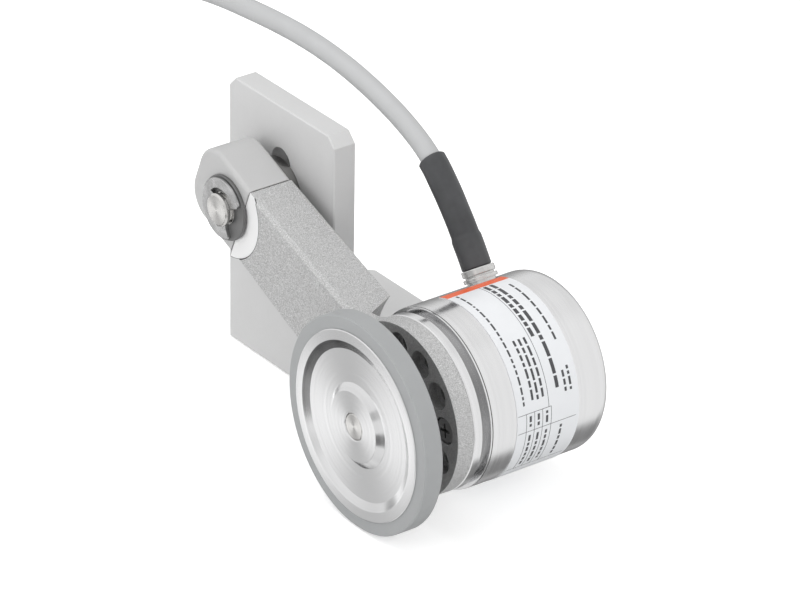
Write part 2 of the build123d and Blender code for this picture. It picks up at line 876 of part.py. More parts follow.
def housing_can():
    """Turned can with a rounded end and the hole for the cable outlet."""
    outer = along_x(can_radius, can_front, can_back)
    outer = fillet(outer.edges().group_by(Axis.X)[-1], can_end_radius)
    inner = along_x(can_inside, can_front - overcut, can_back - can_wall)
    inner = fillet(inner.edges().group_by(Axis.X)[-1], can_end_radius - can_wall)
    hole = outlet_bar(gland_neck + seat_clearance, can_inside - overcut, can_radius + overcut)
    return on_wheel_axis(outer - inner) - hole


def housing_gasket():
    """Dark gasket between the flange's lip and the can."""
    start = lip_front + lip_width
    outer = lip_radius - gasket_inset
    return on_wheel_axis(ring_x(outer, can_inside + seat_clearance, start, start + gasket_width))


def housing_label():
    """Bare label sheet wrapped round the can."""
    start = can_front + label_front_gap
    inner = can_radius + seat_clearance
    corners = [(start, inner), (start + label_length, inner)]
    corners += [(start + label_length, inner + label_thickness), (start, inner + label_thickness)]
    face = make_face(Polyline(*corners, close=True))
    return on_wheel_axis(Rot(label_start, 0, 0) * revolve(face, Axis.X, label_sweep))


def spacer_angles():
    """Angles of the board's spacers, clear of the cable outlet."""
    first = outlet_angle + spacer_angle
    return [first + index * 360.0 / spacer_count for index in range(spacer_count)]


def board_spacers():
    """Posts that carry the circuit board from the flange's spigot."""
    start = can_front + spigot_length
    places = [polar(spacer_circle, angle) for angle in spacer_angles()]
    posts = [on_wheel_axis(along_x(spacer_radius, start, board_front, y, z)) for y, z in places]
    return Compound(children=posts)


def circuit_board():
    """Round board behind the code disc, with screw holes."""
    board_back = board_front + board_thickness
    hole = board_thread_radius + seat_clearance
    board = along_x(board_radius, board_front, board_back)
    for angle in spacer_angles():
        y, z = polar(spacer_circle, angle)
        board -= along_x(hole, board_front - overcut, board_back + overcut, y, z)
    return on_wheel_axis(board)


def board_screws():
    """Screws that hold the board on its spacers."""
    back = board_front + board_thickness
    screws = []
    for angle in spacer_angles():
        y, z = polar(spacer_circle, angle)
        head = along_x(board_screw_radius, back, back + board_screw_height, y, z)
        shank = along_x(board_thread_radius, board_front, back, y, z)
        slot = Box(board_screw_height, 2 * board_screw_radius, board_screw_slot)
        screws.append(on_wheel_axis(head + shank - Pos(back + board_screw_height, y, z) * slot))
    return Compound(children=screws)


def sensor_head():
    """Reading head on the board that faces the code disc's track."""
    front = disc_front + disc_thickness + sensor_gap
    radius = (disc_track_inner + disc_track_outer) / 2
    size = (board_front - front, sensor_depth, sensor_width)
    block = Box(*size, align=(Align.MIN, Align.CENTER, Align.CENTER))
    block = chamfer(block.edges().filter_by(Axis.X), sensor_edge)
    y, z = polar(radius, outlet_angle + 180.0)
    return on_wheel_axis(Pos(front, y, z) * Rot(outlet_angle, 0, 0) * block)


def outlet_point(radius):
    """Point on the cable outlet's axis at a distance from the wheel's axis."""
    y, z = polar(radius, outlet_angle)
    return outlet_x, wheel_y + y, wheel_z + z


def outlet_bar(radius, start, end):
    """Round bar along the cable outlet between two distances from the wheel's axis."""
    y, z = polar(1.0, outlet_angle)
    plane = Plane(origin=outlet_point(start), z_dir=(0, y, z))
    return plane * Cylinder(radius, end - start, align=(Align.CENTER, Align.CENTER, Align.MIN))


def lead_cores():
    """Inner wires from the end of the cable to the board."""
    wires = []
    y, z = polar(1.0, outlet_angle)
    for index in range(core_count):
        offset = (index - (core_count - 1) / 2) * core_pitch
        side = Vector(0, -z, y) * offset
        top = Vector(*outlet_point(cable_start)) + side
        turn = Vector(*outlet_point(cable_start - lead_core_drop)) + side
        end = Vector(board_front, turn.Y, turn.Z)
        path = FilletPolyline(top, turn, end, radius=lead_core_bend)
        section = Plane(origin=path @ 0, z_dir=path % 0) * Circle(core_radius - running_clearance)
        wires.append(sweep(section, path=path))
    return Compound(children=wires)


def cable_gland():
    """Outlet fitting: neck through the can's wall and a round flange with a collar."""
    top = gland_top() - ring_gap
    neck = outlet_bar(gland_neck, can_inside - gland_inside, gland_top())
    flange = outlet_bar(gland_radius, can_radius + gland_flange_lift, top)
    flange = chamfer(flange.edges().filter_by(GeomType.CIRCLE), thin_edge)
    bore = outlet_bar(cable_radius + seat_clearance, can_inside - 2 * overcut, gland_top() + overcut)
    return neck + flange - bore


def gland_top():
    """Distance from the wheel's axis of the gland's outer end."""
    return can_radius - gland_sunk + gland_height + ring_gap


def gland_ring():
    """Metal ferrule above the gland's flange."""
    start = gland_top()
    end = sleeve_start()
    ring = outlet_bar(gland_radius - gland_ring_inset, start, end)
    ring = chamfer(ring.edges().filter_by(GeomType.CIRCLE), gland_edge)
    return ring - outlet_bar(cable_radius + seat_clearance, start - overcut, end + overcut)


def sleeve_start():
    """Distance from the wheel's axis where the strain relief begins."""
    return gland_top() + gland_ring_height


def cable_route():
    """Points that the cable's centre line turns at, from the outlet to the coil's inlet."""
    start = Vector(*outlet_point(cable_start))
    first = Vector(*outlet_point(can_radius + first_run))
    landing = coil_inlet() - coil_heading(coil_inlet_angle) * landing_run
    return [start, first] + [Vector(*point) for point in route_free] + [landing, coil_inlet()]


def bend_radii(points):
    """Largest bend radius for each inner point of a route."""
    radii = []
    for before, point, after in zip(points, points[1:], points[2:]):
        into = point - before
        out = after - point
        half_turn = math.radians(into.get_angle(out) / 2)
        radii.append(arc_share * min(into.length, out.length) / math.tan(half_turn))
    return radii


def rounded_path(points):
    """Straight runs through the points, joined by tangent arcs."""
    return FilletPolyline(*points, radius=bend_radii(points))


def swept(path, section):
    """Sweeps a section along a path from its start."""
    plane = Plane(origin=path @ 0, z_dir=path % 0)
    return sweep(plane * section, path=path)


def cable_lead():
    """Free cable from the outlet to the coil."""
    points = cable_route()
    path = rounded_path(points)
    tube = swept(path, Circle(cable_radius))
    plain_volume = math.pi * cable_radius**2 * path.length
    print("cable radii", [round(radius, 1) for radius in bend_radii(points)])
    print("cable length", round(path.length, 2), "volume ratio", round(tube.volume / plain_volume, 5))
    print("coil length", round(coil_length(), 1), "whole", round(path.length + coil_length(), 1))
    return tube


def cable_stretch(start, end):
    """Part of the cable's path between two lengths measured from the top of the gland's ring."""
    path = rounded_path(cable_route()[:6])
    before = sleeve_start() - cable_start
    return path.trim((before + start) / path.length, (before + end) / path.length)


def strain_relief():
    """Shrink sleeve over the cable, thicker where it grips the ferrule."""
    bore = Circle(cable_radius + seat_clearance)
    thick = Circle(cable_radius + seat_clearance + sleeve_wall) - bore
    thin = Circle(cable_radius + seat_clearance + sleeve_thin_wall) - bore
    collar = swept(cable_stretch(0, sleeve_collar_length), thick)
    return collar + swept(cable_stretch(sleeve_collar_length, sleeve_length), thin)


def coil_point(angle, height, radius=coil_radius):
    """Point on the coil's centre line."""
    turn = math.radians(angle)
    x, y = coil_centre
    return Vector(x + radius * math.cos(turn), y + radius * math.sin(turn), height)


def coil_heading(angle):
    """Direction in which the cable runs at an angle of the coil; it is wound clockwise from above."""
    turn = math.radians(angle)
    return Vector(math.sin(turn), -math.cos(turn), 0)


def coil_turns():
    """Number of turns between the inlet and the tail."""
    return coil_whole_turns + (coil_inlet_angle - coil_tail_angle) / 360.0


def inlet_height():
    """Height of the centre line where the cable enters the coil's top turn."""
    return cable_radius + 2 * cable_radius * coil_turns()


def coil_inlet():
    """End of the short straight stretch that leads into the coil's top turn."""
    return coil_point(coil_inlet_angle, inlet_height()) - coil_heading(coil_inlet_angle) * coil_stub


def tail_end():
    """End of the cable's jacket, beside the coil on the floor."""
    return coil_point(coil_tail_angle, cable_radius) + coil_heading(coil_tail_angle) * tail_stub


def coil_length():
    """Length of the cable in the coil, its inlet and its tail."""
    return 2 * math.pi * coil_turns() * coil_radius + coil_stub + tail_stub


def straight_bar(start, end, radius):
    """Round bar between two points."""
    plane = Plane(origin=start, z_dir=end - start)
    length = (end - start).length
    return plane * Cylinder(radius, length, align=(Align.CENTER, Align.CENTER, Align.MIN))


def cable_coil():
    """Outer shape of the put-away turns with the cable's way in and out."""
    x, y = coil_centre
    height = inlet_height() + cable_radius
    low = (Align.CENTER, Align.CENTER, Align.MIN)
    stack = Cylinder(coil_radius + cable_radius, height, align=low)
    stack = fillet(stack.edges().filter_by(GeomType.CIRCLE), coil_edge)
    core = Cylinder(coil_radius - cable_radius, height + 2 * overcut, align=low)
    stack = Pos(x, y, 0) * (stack - Pos(0, 0, -overcut) * core)
    envelope = Circle(cable_radius + 2 * running_clearance)
    approach = swept(rounded_path(cable_route()[-5:]), envelope)
    slim = cable_radius - seat_clearance
    inlet = straight_bar(coil_inlet(), coil_point(coil_inlet_angle, inlet_height()), slim)
    tail = straight_bar(coil_point(coil_tail_angle, cable_radius), tail_end(), slim)
    return stack - approach + inlet + tail


def coil_tie():
    """Plastic tie round the coil's turns."""
    height = inlet_height() + cable_radius
    clear = 2 * running_clearance
    inside_width = 2 * (cable_radius + clear)
    inside_height = height + 2 * clear
    outside = Box(inside_width + 2 * tie_thickness, tie_width, inside_height + 2 * tie_thickness)
    outside = fillet(outside.edges().filter_by(Axis.Y), tie_corner)
    lock_place = inside_width / 2 + tie_thickness - tie_lock_sunk + tie_lock_depth / 2
    lock = Pos(lock_place, 0, 0) * Box(tie_lock_depth, tie_lock_width, tie_lock_height)
    band = outside + lock - Box(inside_width, tie_lock_width + overcut, inside_height)
    middle = coil_point(tie_angle, height / 2)
    return Pos(middle.X, middle.Y, middle.Z) * Rot(0, 0, tie_angle) * band


def core_paths():
    """Start, middle and end of each bare core, fanned out on the floor."""
    heading = coil_heading(coil_tail_angle)
    side = Vector(-heading.Y, heading.X, 0)
    paths = []
    for index in range(core_count):
        place = index - (core_count - 1) / 2
        start = tail_end() + side * place * core_pitch + heading * 2 * running_clearance
        end = tail_end() + side * place * core_fan + heading * core_length
        paths.append((start, end))
    return paths


def cable_cores():
    """Insulated cores that come out of the jacket's end."""
    return Compound(children=[straight_bar(start, end, core_radius) for start, end in core_paths()])


def core_ferrules():
    """Crimped ferrules on the cores' ends."""
    ferrules = []
    for start, end in core_paths():
        way = (end - start).normalized()
        collar = straight_bar(end, end + way * ferrule_length / 3, ferrule_radius)
        tip = straight_bar(end + way * ferrule_length / 3, end + way * ferrule_length, bare_wire_radius)
        ferrules.append(collar + tip)
    return Compound(children=ferrules)


nodes = {
    "mounting_bracket": mounting_bracket(),
    "pivot_pin": pivot_pin(),
    "stop_pin": stop_pin(),
    "clamp_washer": clamp_washer(),
    "clamp_nut": clamp_nut(),
    "retaining_clip": retaining_clip(),
    "pivot_washer": pivot_washer(),
    "arm_casting": arm_casting(),
    "pivot_cap": pivot_cap(),
    "front_bush": front_bush(),
    "rear_bush": rear_bush(),
    "torsion_spring": torsion_spring(),
    "flange_screws": flange_screws(),
    "wheel_disc": wheel_disc(),
    "tyre": tyre(),
    "grub_screw": grub_screw(),
    "encoder_shaft": encoder_shaft(),
    "encoder_flange": encoder_flange(),
    "shaft_seal": shaft_seal(),
    "front_bearing_outer": bearing_outer(first_bearing),
    "rear_bearing_outer": bearing_outer(second_bearing),
    "front_bearing_inner": bearing_inner(first_bearing),
    "rear_bearing_inner": bearing_inner(second_bearing),
    "front_balls": bearing_balls(first_bearing),
    "rear_balls": bearing_balls(second_bearing),
    "front_cage": bearing_cage(first_bearing),
    "rear_cage": bearing_cage(second_bearing),
    "shaft_circlip": shaft_circlip(),
    "disc_hub": disc_hub(),
    "code_disc": code_disc(),
    "housing_can": housing_can(),
    "housing_gasket": housing_gasket(),
    "housing_label": housing_label(),
    "board_spacers": board_spacers(),
    "circuit_board": circuit_board(),
    "board_screws": board_screws(),
    "sensor_head": sensor_head(),
    "lead_cores": lead_cores(),
    "cable_gland": cable_gland(),
    "gland_ring": gland_ring(),
    "strain_relief": strain_relief(),
    "cable_lead": cable_lead(),
    "cable_coil": cable_coil(),
    "coil_tie": coil_tie(),
    "cable_cores": cable_cores(),
    "core_ferrules": core_ferrules(),
}

os.makedirs("parts", exist_ok=True)
for name, shape in nodes.items():
    export_step(shape, f"parts/{name}.step")
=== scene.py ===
import json
import math
import random

import bmesh
import bpy
from bpy.props import FloatProperty, FloatVectorProperty, IntProperty, PointerProperty
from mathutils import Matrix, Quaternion, Vector


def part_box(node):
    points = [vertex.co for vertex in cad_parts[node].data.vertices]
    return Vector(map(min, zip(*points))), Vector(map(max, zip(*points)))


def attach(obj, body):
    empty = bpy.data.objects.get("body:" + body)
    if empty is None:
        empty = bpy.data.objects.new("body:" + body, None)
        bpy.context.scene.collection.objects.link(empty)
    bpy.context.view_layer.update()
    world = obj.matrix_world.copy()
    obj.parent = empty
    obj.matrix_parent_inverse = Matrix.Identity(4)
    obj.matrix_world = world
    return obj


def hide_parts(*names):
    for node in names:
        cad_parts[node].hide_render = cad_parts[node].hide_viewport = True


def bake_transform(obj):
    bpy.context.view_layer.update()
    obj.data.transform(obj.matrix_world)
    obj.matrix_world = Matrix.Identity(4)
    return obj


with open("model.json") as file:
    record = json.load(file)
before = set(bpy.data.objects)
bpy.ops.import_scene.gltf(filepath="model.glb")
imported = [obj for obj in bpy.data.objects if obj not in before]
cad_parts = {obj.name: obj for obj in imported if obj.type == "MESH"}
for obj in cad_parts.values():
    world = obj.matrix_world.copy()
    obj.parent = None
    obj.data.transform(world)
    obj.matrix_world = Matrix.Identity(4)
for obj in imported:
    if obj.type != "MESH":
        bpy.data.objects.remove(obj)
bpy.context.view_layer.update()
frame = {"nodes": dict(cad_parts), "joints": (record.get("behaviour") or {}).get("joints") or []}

bl_info = {
    "name": "Measuring Wheel Encoder",
    "version": (1, 0, 0),
    "blender": (4, 5, 0),
    "location": "View3D > Sidebar > Encoder",
    "description": "Finishes, cable and stage for a measuring wheel encoder on a spring-loaded arm",
    "category": "Object",
}

# Axes of the joints, in metres
JOINTS = {joint["name"]: joint for joint in frame["joints"]}
PIVOT = Vector(JOINTS["arm_swing"]["pos_m"])
AXLE = Vector(JOINTS["wheel_spin"]["pos_m"])

MM = 0.001

# Places on the arm
ARM_SLOPE = math.radians(22.0)
SEAM_PLACE = 6.6 * MM
EYE_RADIUS = 15.5 * MM
HUB_RADIUS = 25.5 * MM

# Painted shade in the groove of the flange: its two X places and a radius between its bottom and its rims
GROOVE_SHADE = (-36.0 * MM, -34.0 * MM, 25.0 * MM)


# Sizes and colours that a user would change, as groups of properties


def colour(label, words, default):
    """Colour property with its default."""
    return FloatVectorProperty(
        name=label, description=words, default=default, size=3, min=0.0, max=1.0, subtype="COLOR"
    )


def length(label, words, default):
    """Length property in metres with its default."""
    return FloatProperty(name=label, description=words, default=default, min=0.0, unit="LENGTH")


def power(label, words, default):
    """Power of a lamp in watts with its default."""
    return FloatProperty(name=label, description=words, default=default, min=0.0, unit="POWER")


class MetalColours(bpy.types.PropertyGroup):
    """Colours of the metal pieces."""

    plate: colour("Bracket", "Bead-blasted plate", (0.62, 0.62, 0.62))
    cap: colour("Pivot cap", "Smooth coated cap", (0.50, 0.50, 0.50))
    casting: colour("Casting", "Sand-textured arm", (0.52, 0.52, 0.52))
    machined: colour("Machined face", "Milled face of the eye", (0.82, 0.82, 0.82))
    turned: colour("Turned aluminium", "Flange and can", (0.885, 0.885, 0.89))
    wheel: colour("Wheel", "Turned wheel", (0.81, 0.81, 0.815))
    steel: colour("Bright steel", "Ground pin and shaft", (0.71, 0.70, 0.685))
    zinc: colour("Zinc plating", "Nut, washer and board hardware", (0.62, 0.62, 0.64))
    clip: colour("Clip", "Polished spring steel", (0.53, 0.53, 0.53))
    dark: colour("Dark steel", "Oxidised washer and screws", (0.21, 0.21, 0.21))
    bronze: colour("Bronze", "Sintered bushes", (0.45, 0.33, 0.18))
    brass: colour("Brass", "Hub of the code disc", (0.60, 0.46, 0.22))
    nickel: colour("Nickel", "Gland and its ring", (0.76, 0.755, 0.745))


class SoftColours(bpy.types.PropertyGroup):
    """Colours of the rubber, plastic and printed pieces."""

    tyre: colour("Tyre", "Grey rubber", (0.342, 0.350, 0.354))
    seal: colour("Seals", "Black rubber", (0.03, 0.03, 0.03))
    label: colour("Label", "Silver-white foil", (0.76, 0.772, 0.79))
    stripe: colour("Stripe", "Plain stripe on the label's edge", (0.78, 0.12, 0.035))
    ink: colour("Ink", "Ruled lines on the label", (0.06, 0.06, 0.065))
    sleeve: colour("Sleeve", "Shrink sleeve", (0.050, 0.051, 0.054))
    jacket: colour("Jacket", "Cable jacket", (0.475, 0.480, 0.484))
    board: colour("Board", "Solder mask", (0.015, 0.14, 0.05))
    plastic: colour("Black plastic", "Sensor head and tie", (0.025, 0.025, 0.027))
    cage: colour("Cage", "Natural nylon", (0.60, 0.50, 0.32))


class CableSizes(bpy.types.PropertyGroup):
    """Sizes of the cable and its strain relief."""

    diameter: length("Diameter", "Outside diameter of the jacket", 6.0 * MM)
    whole: length("Length", "Whole length of the cable", 1.0)
    coil_radius: length("Coil radius", "Middle of the put-away turns", 32.0 * MM)
    sleeve_start: length("Sleeve start", "Cable inside the can and the gland", 6.3 * MM)
    sleeve_length: length("Sleeve length", "Shrink sleeve along the cable", 33.5 * MM)
    sleeve_grip: length("Sleeve grip", "Thicker stretch at the ring", 8.5 * MM)
    grip_wall: length("Grip wall", "Wall where the sleeve grips the ring", 1.37 * MM)
    sleeve_wall: length("Sleeve wall", "Wall beyond the grip", 1.07 * MM)
    sides: IntProperty(name="Sides", description="Faces round the cable", default=24, min=8, max=64)


class LabelSizes(bpy.types.PropertyGroup):
    """Sizes of the ruled pattern on the label."""

    top: FloatProperty(
        name="Top edge",
        description="Angle of the label's upper edge from +Y",
        default=math.radians(68),
        unit="ROTATION",
    )
    stripe: length("Stripe", "Width of the stripe", 4.0 * MM)
    ink: length("Ink", "Thickness of the print", 0.03 * MM)
    rule: length("Rule", "Width of a thin line", 0.14 * MM)
    bold: length("Bold", "Height of a bold row", 1.15 * MM)
    plain: length("Plain", "Height of a plain row", 0.75 * MM)


class StageLevels(bpy.types.PropertyGroup):
    """Light and floor of the stage."""

    surround: FloatProperty(name="Surround", description="Strength of the even light", default=0.60, min=0.0)
    studio: FloatProperty(name="Studio", description="Strength of what metal mirrors", default=0.88, min=0.0)
    key: power("Key", "Power of the lamp above", 6.0)
    side: power("Side", "Power of the lamp at the side", 4.3)
    front: power("Front", "Power of the front lamp", 4.8)
    floor: colour("Floor", "Pale floor", (0.86, 0.86, 0.86))
    lens: FloatProperty(name="Lens", description="Focal length in millimetres", default=243.4, min=1.0)


# Shader building


class Finish:
    """A material made of nodes round one principled shader."""

    def __init__(self, name, base, metallic=0.0, roughness=0.5):
        self.material = bpy.data.materials.new(name)
        self.material.use_nodes = True
        self.tree = self.material.node_tree
        self.shader = self.tree.nodes["Principled BSDF"]
        self.shader.inputs["Base Color"].default_value = (*base, 1.0)
        self.shader.inputs["Metallic"].default_value = metallic
        self.shader.inputs["Roughness"].default_value = roughness
        self.normal = None
        self.place = self.node("ShaderNodeTexCoord").outputs["Object"]

    def node(self, kind, **settings):
        """Adds a node and sets its attributes."""
        made = self.tree.nodes.new(kind)
        for key, value in settings.items():
            setattr(made, key, value)
        return made

    def link(self, source, target):
        """Joins an output, or a number, to an input."""
        if isinstance(source, bpy.types.NodeSocket):
            self.tree.links.new(source, target)
        else:
            target.default_value = source

    def math(self, operation, first, second=0.0, third=0.0):
        """One sum on numbers or outputs."""
        made = self.node("ShaderNodeMath", operation=operation)
        for source, target in zip((first, second, third), made.inputs):
            self.link(source, target)
        return made.outputs[0]

    def noise(self, scale, detail=3.0, roughness=0.6, place=None):
        """Noise with its size given in features per metre."""
        made = self.node("ShaderNodeTexNoise")
        made.inputs["Scale"].default_value = scale
        made.inputs["Detail"].default_value = detail
        made.inputs["Roughness"].default_value = roughness
        self.link(place or self.place, made.inputs["Vector"])
        return made.outputs["Fac"]

    def ramp(self, source, low, high, start=0.3, end=0.7):
        """Maps a range of one output to another."""
        made = self.node("ShaderNodeMapRange")
        for value, key in ((start, "From Min"), (end, "From Max"), (low, "To Min"), (high, "To Max")):
            self.link(value, made.inputs[key])
        self.link(source, made.inputs["Value"])
        return made.outputs["Result"]

    def tint(self, source, first, second):
        """Mixes two colours by an output and feeds the base colour."""
        made = self.node("ShaderNodeMix", data_type="RGBA")
        made.inputs[6].default_value = (*first, 1.0)
        made.inputs[7].default_value = (*second, 1.0)
        self.link(source, made.inputs[0])
        self.link(made.outputs[2], self.shader.inputs["Base Color"])
        return made.outputs[2]

    def blend(self, source, first, second):
        """Mixes a colour output with a plain colour."""
        made = self.node("ShaderNodeMix", data_type="RGBA")
        self.link(source, made.inputs[0])
        self.link(first, made.inputs[6])
        made.inputs[7].default_value = (*second, 1.0)
        return made.outputs[2]

    def seam(self):
        """1 within a hair of the joint between the cap and the casting, otherwise 0."""
        split = self.node("ShaderNodeSeparateXYZ")
        self.link(self.place, split.inputs[0])
        y = self.math("MULTIPLY", self.math("SUBTRACT", split.outputs["Y"], PIVOT.y), -math.cos(ARM_SLOPE))
        z = self.math("MULTIPLY", self.math("SUBTRACT", split.outputs["Z"], PIVOT.z), -math.sin(ARM_SLOPE))
        return self.math("COMPARE", self.math("ADD", y, z), SEAM_PLACE, 0.17 * MM)

    def rough(self, source):
        """Feeds the roughness."""
        self.link(source, self.shader.inputs["Roughness"])

    def soften(self, radius):
        """Rounds sharp edges by shading."""
        made = self.node("ShaderNodeBevel", samples=6)
        made.inputs["Radius"].default_value = radius
        self.normal = made.outputs["Normal"]
        self.link(self.normal, self.shader.inputs["Normal"])

    def bump(self, height, distance, strength=1.0):
        """Adds relief of a given depth in metres."""
        made = self.node("ShaderNodeBump")
        made.inputs["Distance"].default_value = distance
        self.link(strength, made.inputs["Strength"])
        self.link(height, made.inputs["Height"])
        if self.normal is not None:
            self.link(self.normal, made.inputs["Normal"])
        self.normal = made.outputs["Normal"]
        self.link(self.normal, self.shader.inputs["Normal"])

    def about(self, axis):
        """(x, distance from the axis) of the shaded point, as two outputs."""
        split = self.node("ShaderNodeSeparateXYZ")
        self.link(self.place, split.inputs[0])
        y = self.math("SUBTRACT", split.outputs["Y"], axis.y)
        z = self.math("SUBTRACT", split.outputs["Z"], axis.z)
        square = self.math("ADD", self.math("MULTIPLY", y, y), self.math("MULTIPLY", z, z))
        return split.outputs["X"], self.math("SQRT", square)


def scaled(base, factor):
    """A colour made lighter or darker."""
    return tuple(min(1.0, part * factor) for part in base)


def blasted_plate(name, base):
    """Bead-blasted and anodised aluminium: matt, with a very fine even grain."""
    finish = Finish(name, base, metallic=0.15, roughness=0.5)
    finish.shader.inputs["Specular IOR Level"].default_value = 0.4
    cloud = finish.noise(38.0, detail=4.0)
    finish.tint(finish.ramp(cloud, 0.0, 1.0), scaled(base, 0.975), scaled(base, 1.02))
    grain = finish.noise(5200.0, detail=2.0)
    finish.rough(finish.ramp(finish.noise(900.0), 0.44, 0.56))
    finish.soften(0.25 * MM)
    finish.bump(grain, 0.03 * MM, 0.35)
    return finish.material


def smooth_coat(name, base):
    """Smooth satin coat with a faint orange-peel."""
    finish = Finish(name, base, metallic=0.1, roughness=0.4)
    peel = finish.noise(900.0, detail=2.0)
    finish.tint(finish.ramp(finish.noise(60.0), 0.0, 1.0), scaled(base, 0.985), scaled(base, 1.015))
    finish.rough(finish.ramp(peel, 0.36, 0.46))
    finish.bump(peel, 0.02 * MM, 0.25)
    return finish.material


def sand_casting(name, base, machined):
    """Cast skin with a sandy grain, a milled face round the pivot, dark seams, and painted shade on the
    hub's front face behind the wheel.
    """
    finish = Finish(name, base, metallic=0.75, roughness=0.5)
    x, distance = finish.about(PIVOT)
    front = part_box("arm_casting")[0].x
    near = finish.math("LESS_THAN", distance, EYE_RADIUS - 0.05 * MM)
    flush = finish.math("LESS_THAN", x, front + 0.45 * MM)
    milled = finish.math("MULTIPLY", near, flush)
    sandy = finish.math("SUBTRACT", 1.0, milled)
    grain = finish.noise(5000.0, detail=2.0, roughness=0.6)
    speck = finish.ramp(grain, 0.0, 1.0, 0.36, 0.66)
    tone = finish.tint(speck, scaled(base, 0.60), scaled(base, 1.54))
    # Painted shade: the hub's front face and its holes behind the wheel are darkened as if the wheel
    # shadowed them
    x, outward = finish.about(AXLE)
    inside = finish.math("LESS_THAN", outward, HUB_RADIUS - 0.1 * MM)
    ahead = finish.math("LESS_THAN", x, front + 5.0 * MM)
    painted_shade = finish.math("MULTIPLY", finish.math("MULTIPLY", inside, ahead), 0.45)
    tone = finish.blend(painted_shade, tone, scaled(base, 0.16))
    tone = finish.blend(milled, tone, machined)
    edge = finish.math("COMPARE", distance, EYE_RADIUS, 0.16 * MM)
    low = finish.math("LESS_THAN", x, front + 0.55 * MM)
    line = finish.math("MAXIMUM", finish.math("MULTIPLY", edge, low), finish.seam())
    tone = finish.blend(line, tone, scaled(base, 0.06))
    finish.link(tone, finish.shader.inputs["Base Color"])
    cast = finish.ramp(grain, 0.42, 0.62)
    finish.rough(finish.math("SUBTRACT", cast, finish.math("MULTIPLY", milled, 0.12)))
    finish.soften(0.3 * MM)
    finish.link(finish.math("MULTIPLY_ADD", sandy, 0.5, 0.1), finish.shader.inputs["Metallic"])
    lumps = finish.noise(900.0, detail=2.0)
    finish.bump(lumps, 0.08 * MM, finish.math("MULTIPLY", sandy, 0.15))
    finish.bump(grain, 0.07 * MM, finish.math("MULTIPLY", sandy, 0.4))
    return finish.material


def turned_metal(
    name, base, axis, roughness=0.2, lines=5200.0, depth=0.35, stretch=0.55, dark=None, edge=0.12
):
    """Lathe-turned metal: fine rings about an X axis, stretched highlights, and painted shade in a zone if
    given.

    The dark argument gives the zone of painted shade as a start and an end in X and a radius, and edge is
    the rounding in millimetres.
    """
    finish = Finish(name, base, metallic=1.0, roughness=roughness)
    x, distance = finish.about(axis)
    rings = finish.node("ShaderNodeCombineXYZ")
    finish.link(x, rings.inputs[0])
    finish.link(distance, rings.inputs[1])
    fine = finish.noise(lines, detail=2.0, place=rings.outputs[0])
    broad = finish.noise(lines / 9.0, detail=3.0, place=rings.outputs[0])
    metal = finish.tint(finish.ramp(broad, 0.0, 1.0), scaled(base, 0.95), scaled(base, 1.03))
    # Painted shade: the base colour is darkened within the given zone
    if dark:
        start, end, reach = dark
        beyond = finish.math("GREATER_THAN", x, start)
        before = finish.math("LESS_THAN", x, end)
        within = finish.math("LESS_THAN", distance, reach)
        mask = finish.math("MULTIPLY", finish.math("MULTIPLY", beyond, before), within)
        finish.link(finish.blend(mask, metal, scaled(base, 0.42)), finish.shader.inputs["Base Color"])
    finish.rough(finish.ramp(broad, roughness * 0.8, roughness * 1.25))
    finish.shader.inputs["Anisotropic"].default_value = stretch
    finish.shader.inputs["Anisotropic Rotation"].default_value = 0.25
    tangent = finish.node("ShaderNodeTangent", direction_type="RADIAL", axis="X")
    finish.link(tangent.outputs[0], finish.shader.inputs["Tangent"])
    finish.soften(edge * MM)
    finish.bump(fine, 0.006 * MM, depth)
    return finish.material


def plated(name, base, roughness=0.3, metallic=1.0, grain=1500.0, depth=0.01, edge=0.12):
    """Plated or oxidised metal with slight stains and a fine grain, depth and edge in millimetres."""
    finish = Finish(name, base, metallic=metallic, roughness=roughness)
    stain = finish.noise(260.0, detail=4.0)
    finish.tint(finish.ramp(stain, 0.0, 1.0), scaled(base, 0.86), scaled(base, 1.12))
    finish.rough(finish.ramp(stain, roughness * 0.8, roughness * 1.3))
    finish.soften(edge * MM)
    finish.bump(finish.noise(grain, detail=3.0), depth * MM, 0.5)
    return finish.material


def moulded(name, base, roughness=0.5, grain=1800.0, depth=0.02, spread=0.08):
    """Rubber or moulded plastic with a fine matt grain, its depth in millimetres."""
    finish = Finish(name, base, roughness=roughness)
    cloud = finish.noise(120.0, detail=3.0)
    finish.tint(finish.ramp(cloud, 0.0, 1.0), scaled(base, 1.0 - spread), scaled(base, 1.0 + spread))
    grit = finish.noise(grain, detail=2.0)
    finish.rough(finish.ramp(grit, roughness * 0.88, roughness * 1.12))
    finish.bump(grit, depth * MM, 0.4)
    return finish.material


# Insulation of the cores: white, brown, green, yellow and grey
CORE_SHADES = (
    (0.75, 0.73, 0.68),
    (0.16, 0.07, 0.03),
    (0.03, 0.22, 0.07),
    (0.75, 0.55, 0.03),
    (0.3, 0.3, 0.3),
)


def wire_colours(name):
    """Insulation with another colour on each core."""
    finish = Finish(name, (0.5, 0.5, 0.5), roughness=0.4)
    island = finish.node("ShaderNodeNewGeometry").outputs["Random Per Island"]
    ramp = finish.node("ShaderNodeValToRGB")
    ramp.color_ramp.interpolation = "CONSTANT"
    stops = ramp.color_ramp.elements
    while len(stops) < len(CORE_SHADES):
        stops.new(1.0)
    for index, shade in enumerate(CORE_SHADES):
        stops[index].position = index / len(CORE_SHADES)
        stops[index].color = (*shade, 1.0)
    finish.link(island, ramp.inputs[0])
    finish.link(ramp.outputs[0], finish.shader.inputs["Base Color"])
    finish.bump(finish.noise(1500.0), 0.01 * MM, 0.3)
    return finish.material


def dress(material, *names):
    """Gives CAD nodes a material in place of their own."""
    for name in names:
        piece = frame["nodes"][name]
        piece.data.materials.clear()
        piece.data.materials.append(material)


# Meshes


